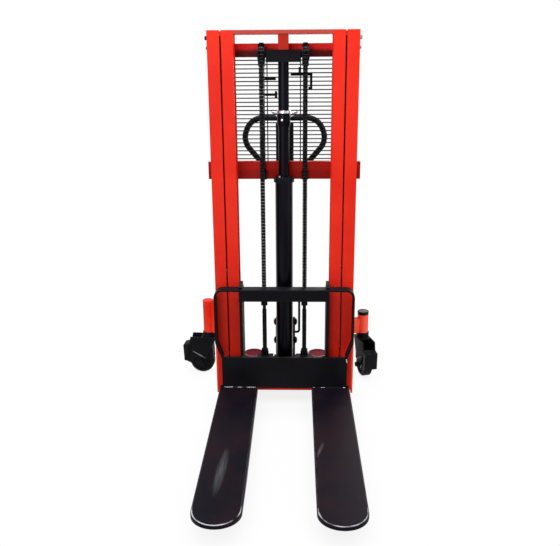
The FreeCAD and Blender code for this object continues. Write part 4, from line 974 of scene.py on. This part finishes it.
def yoke_ribs():
    """Stiffening ribs pressed out of the yoke sides, painted grey as a painted highlight."""
    for side in SIDES:
        bm = bmesh.new()
        for way in SIDES.values():
            start, end = (Vector((x * MM, way * YOKE_HALF, z * MM)) for x, z in YOKE_RIB)
            half = (end - start).length / 2
            profile = [(-half, 0), (-half * 0.8, 1.8 * MM), (-half * 0.3, 3.2 * MM), (half * 0.4, 3.6 * MM),
                       (half * 0.85, 2.4 * MM), (half, 0)]
            add_lathe(bm, profile, (start + end) / 2, end - start, steps=14)
        bm.transform(caster_frame(side))
        make_piece("yoke_ribs_" + side, bm, "rubbed", "caster_" + side)


def base_cap_highlight_rims():
    """Rims of the round caps on the rear base plate, in a pale enamel that is a painted highlight."""
    low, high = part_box("base_caps")
    radius = (high.y - low.y) / 2
    rims = bmesh.new()
    for x in (low.x + radius, high.x - radius):
        place = Vector((x, (low.y + high.y) / 2, high.z))
        add_ring(rims, [(-3 * MM, radius - 5 * MM), (-3 * MM, radius), (0.5 * MM, radius + 1 * MM),
                        (3 * MM, radius - 1 * MM), (3 * MM, radius - 4 * MM)], place, Z, steps=56)
    make_piece("base_cap_highlight_rims", rims, "rim", "chassis")


def stem_cap_rim():
    """The rim of the cap on the right stem tube."""
    low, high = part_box("stem_cap")
    radius = (high.x - low.x) / 2
    place = Vector(((low.x + high.x) / 2, (low.y + high.y) / 2, high.z - 4 * MM))
    bm = bmesh.new()
    add_ring(bm, [(0, radius - 4 * MM), (0, radius + 0.6 * MM), (3 * MM, radius + 1 * MM),
                  (5 * MM, radius - 1 * MM), (5 * MM, radius - 4 * MM)], place, Z, steps=44)
    make_piece("stem_cap_rim", bm, "nylon", "chassis")


def base_plate_bolts():
    """The bolts at the corners of the rear base plate and behind the pump."""
    bolts = bmesh.new()
    low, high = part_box("rear_base_plate")
    for x in (low.x + 18 * MM, high.x - 18 * MM):
        for y in (low.y + 22 * MM, high.y - 22 * MM):
            add_bolt(bolts, (x, y, high.z), Z, flats_mm=17, height_mm=9)
    pump_low, pump_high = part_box("hand_pump")
    for x in (pump_low.x + 10 * MM, pump_high.x - 10 * MM):
        add_bolt(bolts, (x, pump_high.y + 9 * MM, high.z), Z, flats_mm=13, height_mm=7)
    make_piece("base_plate_bolts", bolts, "zinc", "chassis")


def bracket_welds():
    """Weld beads of the caster brackets on the columns, and across the feet of the columns."""
    beads = bmesh.new()
    for side, way in SIDES.items():
        face = MAST_MIDDLE + way * MAST_HALF
        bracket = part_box("caster_bracket_" + side)[0]
        for y in (MAST_FRONT + 9 * MM, MAST_REAR - 1 * MM):
            add_bead(beads, (face, y, bracket.z + 12 * MM), (face, y, bracket.z + 90 * MM), radius_mm=3)
        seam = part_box("outer_column_" + side)[0].z + 20 * MM
        inner = MAST_MIDDLE + way * (MAST_HALF - BEAM_WELD_REACH[1])
        add_bead(beads, (inner, MAST_FRONT + 7 * MM, seam), (face, MAST_FRONT + 1 * MM, seam), radius_mm=3)
    make_piece("bracket_weld_beads", beads, "red", "chassis")


# Tiller and pump

TILLER_PIN_RADIUS = 15 * MM
# Half of the control lever's outline, in mm about its middle, from the hub up to a finger wing and back
LEVER_HALF = ((14, -25), (15, 6), (30, 20), (53, 34), (57, 40), (53, 44), (28, 33), (10, 28))
LEVER_THICK = 4 * MM
LEVER_BOSS_WIDTH = 36 * MM


def tiller_pin_clips():
    """Circlips and domed ends on the tiller's pins."""
    bm = bmesh.new()
    low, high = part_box("tiller_pins")
    radius = TILLER_PIN_RADIUS
    profile = [(-1 * MM, 0), (-1 * MM, radius + 1 * MM), (1 * MM, radius), (2 * MM, radius * 0.66),
               (3.5 * MM, radius * 0.6), (4.5 * MM, radius * 0.4), (4.5 * MM, 0)]
    for z in (low.z + radius, high.z - radius):
        for x, way in ((low.x, -1), (high.x, 1)):
            add_lathe(bm, profile, (x, (low.y + high.y) / 2, z), X * way, steps=28)
    make_piece("tiller_pin_ends", bm, "black", "chassis")


def tiller_clamp_bolts():
    """Clamp bolts through the tiller's spine, where the loop enters it."""
    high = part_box("tiller_shaft")[1]
    loop = middle("tiller_loop")
    bolts = bmesh.new()
    for z in (high.z - 25 * MM, high.z - 190 * MM):
        add_bolt(bolts, (loop.x, high.y - 1 * MM, z), Y, flats_mm=13, height_mm=6)
    make_piece("tiller_clamp_bolts", bolts, "zinc", "tiller")


def control_lever_blade():
    """The pressed chrome lever: a hub that spreads into two finger wings with a rib across them."""
    low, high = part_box("control_lever")
    centre = (low + high) / 2
    bm = bmesh.new()
    outline = in_metres(LEVER_HALF) + in_metres([(-x, z) for x, z in reversed(LEVER_HALF)])
    add_prism(bm, outline, centre, (X, Z, Y), LEVER_THICK)
    for way in SIDES.values():
        root, tip = (centre + Vector((way * out * MM, -2 * MM, up * MM)) for out, up in ((8, 24), (52, 39)))
        add_bead(bm, root, tip, radius_mm=3)
    boss = (high.y - low.y) / 2
    width = LEVER_BOSS_WIDTH
    profile = [(0, 0), (0, boss * 0.9), (1 * MM, boss), (width - 1 * MM, boss), (width, boss * 0.9),
               (width, 0)]
    add_lathe(bm, profile, (centre.x - width / 2, centre.y, low.z + boss), X, steps=28)
    blade = make_piece("control_lever_blade", bm, "chrome", "control_lever")
    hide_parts("control_lever")


# Stage and light

FLOOR_REACH = 15
CONTACT_REACH = 0.2
WHITE = colour("#FFFFFF")
SKY_STRENGTH = 0.18
LIGHT_AIM = Vector((MAST_MIDDLE, MAST_FRONT, 0.8))
# Each lamp's place from the point that it aims at and its size, both in m, and its power in W
LAMPS = {
    "overhead_softbox": ((0, -0.62, 3.2), (1.4, 0.5), 190),
    "front_fill": ((-1.2, -3.4, 1.0), (2.0, 2.0), 45),
    "rear_fill": ((1.2, 3.4, 1.0), (2.0, 2.0), 48),
    "right_fill": ((2.6, -0.4, 0.2), (1.2, 1.6), 28),
}


def floor_coat():
    """Studio floor: white with a soft contact shade to the eye, and mid grey to the light it throws back."""
    material, tree, shader, _ = new_material("pale_studio_floor", Roughness=0.9, Specular_IOR_Level=0.0)
    shader.inputs["Base Color"].default_value = colour("#B8B8B8")
    contact = add_node(tree, "ShaderNodeAmbientOcclusion", {"Distance": CONTACT_REACH}, samples=8)
    shade = ranged(tree, contact.outputs["AO"], (0.1, 0.8), (0.84, 1.0))
    white = add_node(tree, "ShaderNodeEmission", {"Color": WHITE, "Strength": shade})
    mix = add_node(tree, "ShaderNodeMixShader", {0: seen_directly(tree), 1: shader.outputs["BSDF"],
                                                 2: white.outputs["Emission"]})
    tree.links.new(mix.outputs["Shader"], tree.nodes["Material Output"].inputs["Surface"])
    return material


def make_stage():
    mesh = bpy.data.meshes.new("floor")
    corners = [(x * FLOOR_REACH, y * FLOOR_REACH, 0) for x, y in ((-1, -1), (1, -1), (1, 1), (-1, 1))]
    mesh.from_pydata(corners, [], [(0, 1, 2, 3)])
    floor = bpy.data.objects.new("floor", mesh)
    bpy.context.scene.collection.objects.link(floor)
    mesh.materials.append(floor_coat())


def area_light(name, offset, size, power):
    data = bpy.data.lights.new(name, "AREA")
    data.shape = "RECTANGLE"
    data.size, data.size_y = size
    data.energy = power
    lamp = bpy.data.objects.new(name, data)
    place = LIGHT_AIM + Vector(offset)
    lamp.matrix_world = (Matrix.Translation(place)
                         @ (LIGHT_AIM - place).to_track_quat("-Z", "Y").to_matrix().to_4x4())
    bpy.context.scene.collection.objects.link(lamp)


def light_studio():
    """A white room to the camera and to mirrors; a dim sky, a soft box and three fills light the object."""
    world = bpy.data.worlds.new("white_studio")
    world.use_nodes = True
    tree = world.node_tree
    background = tree.nodes["Background"]
    background.inputs["Color"].default_value = WHITE
    strength = ranged(tree, seen_directly(tree), WHOLE, (SKY_STRENGTH, 1.0))
    tree.links.new(strength, background.inputs["Strength"])
    bpy.context.scene.world = world
    for name, (offset, size, power) in LAMPS.items():
        area_light(name, offset, size, power)


place_camera()
dress()
lift_chains()
column_top_bolts()
gland_rings()
rod_coupling()
sheave_pins()
mast_welds()
anchor_threads()
fork_heel_welds()
hoop_welds()
fork_axle_ends()
caster_wheels()
swivel_cups()
brake_treads()
brake_skirts()
wheel_guards()
yoke_ribs()
base_cap_highlight_rims()
stem_cap_rim()
base_plate_bolts()
bracket_welds()
tiller_pin_clips()
tiller_clamp_bolts()
control_lever_blade()
make_stage()
light_studio()
bpy.context.scene.view_settings.view_transform = "Standard"
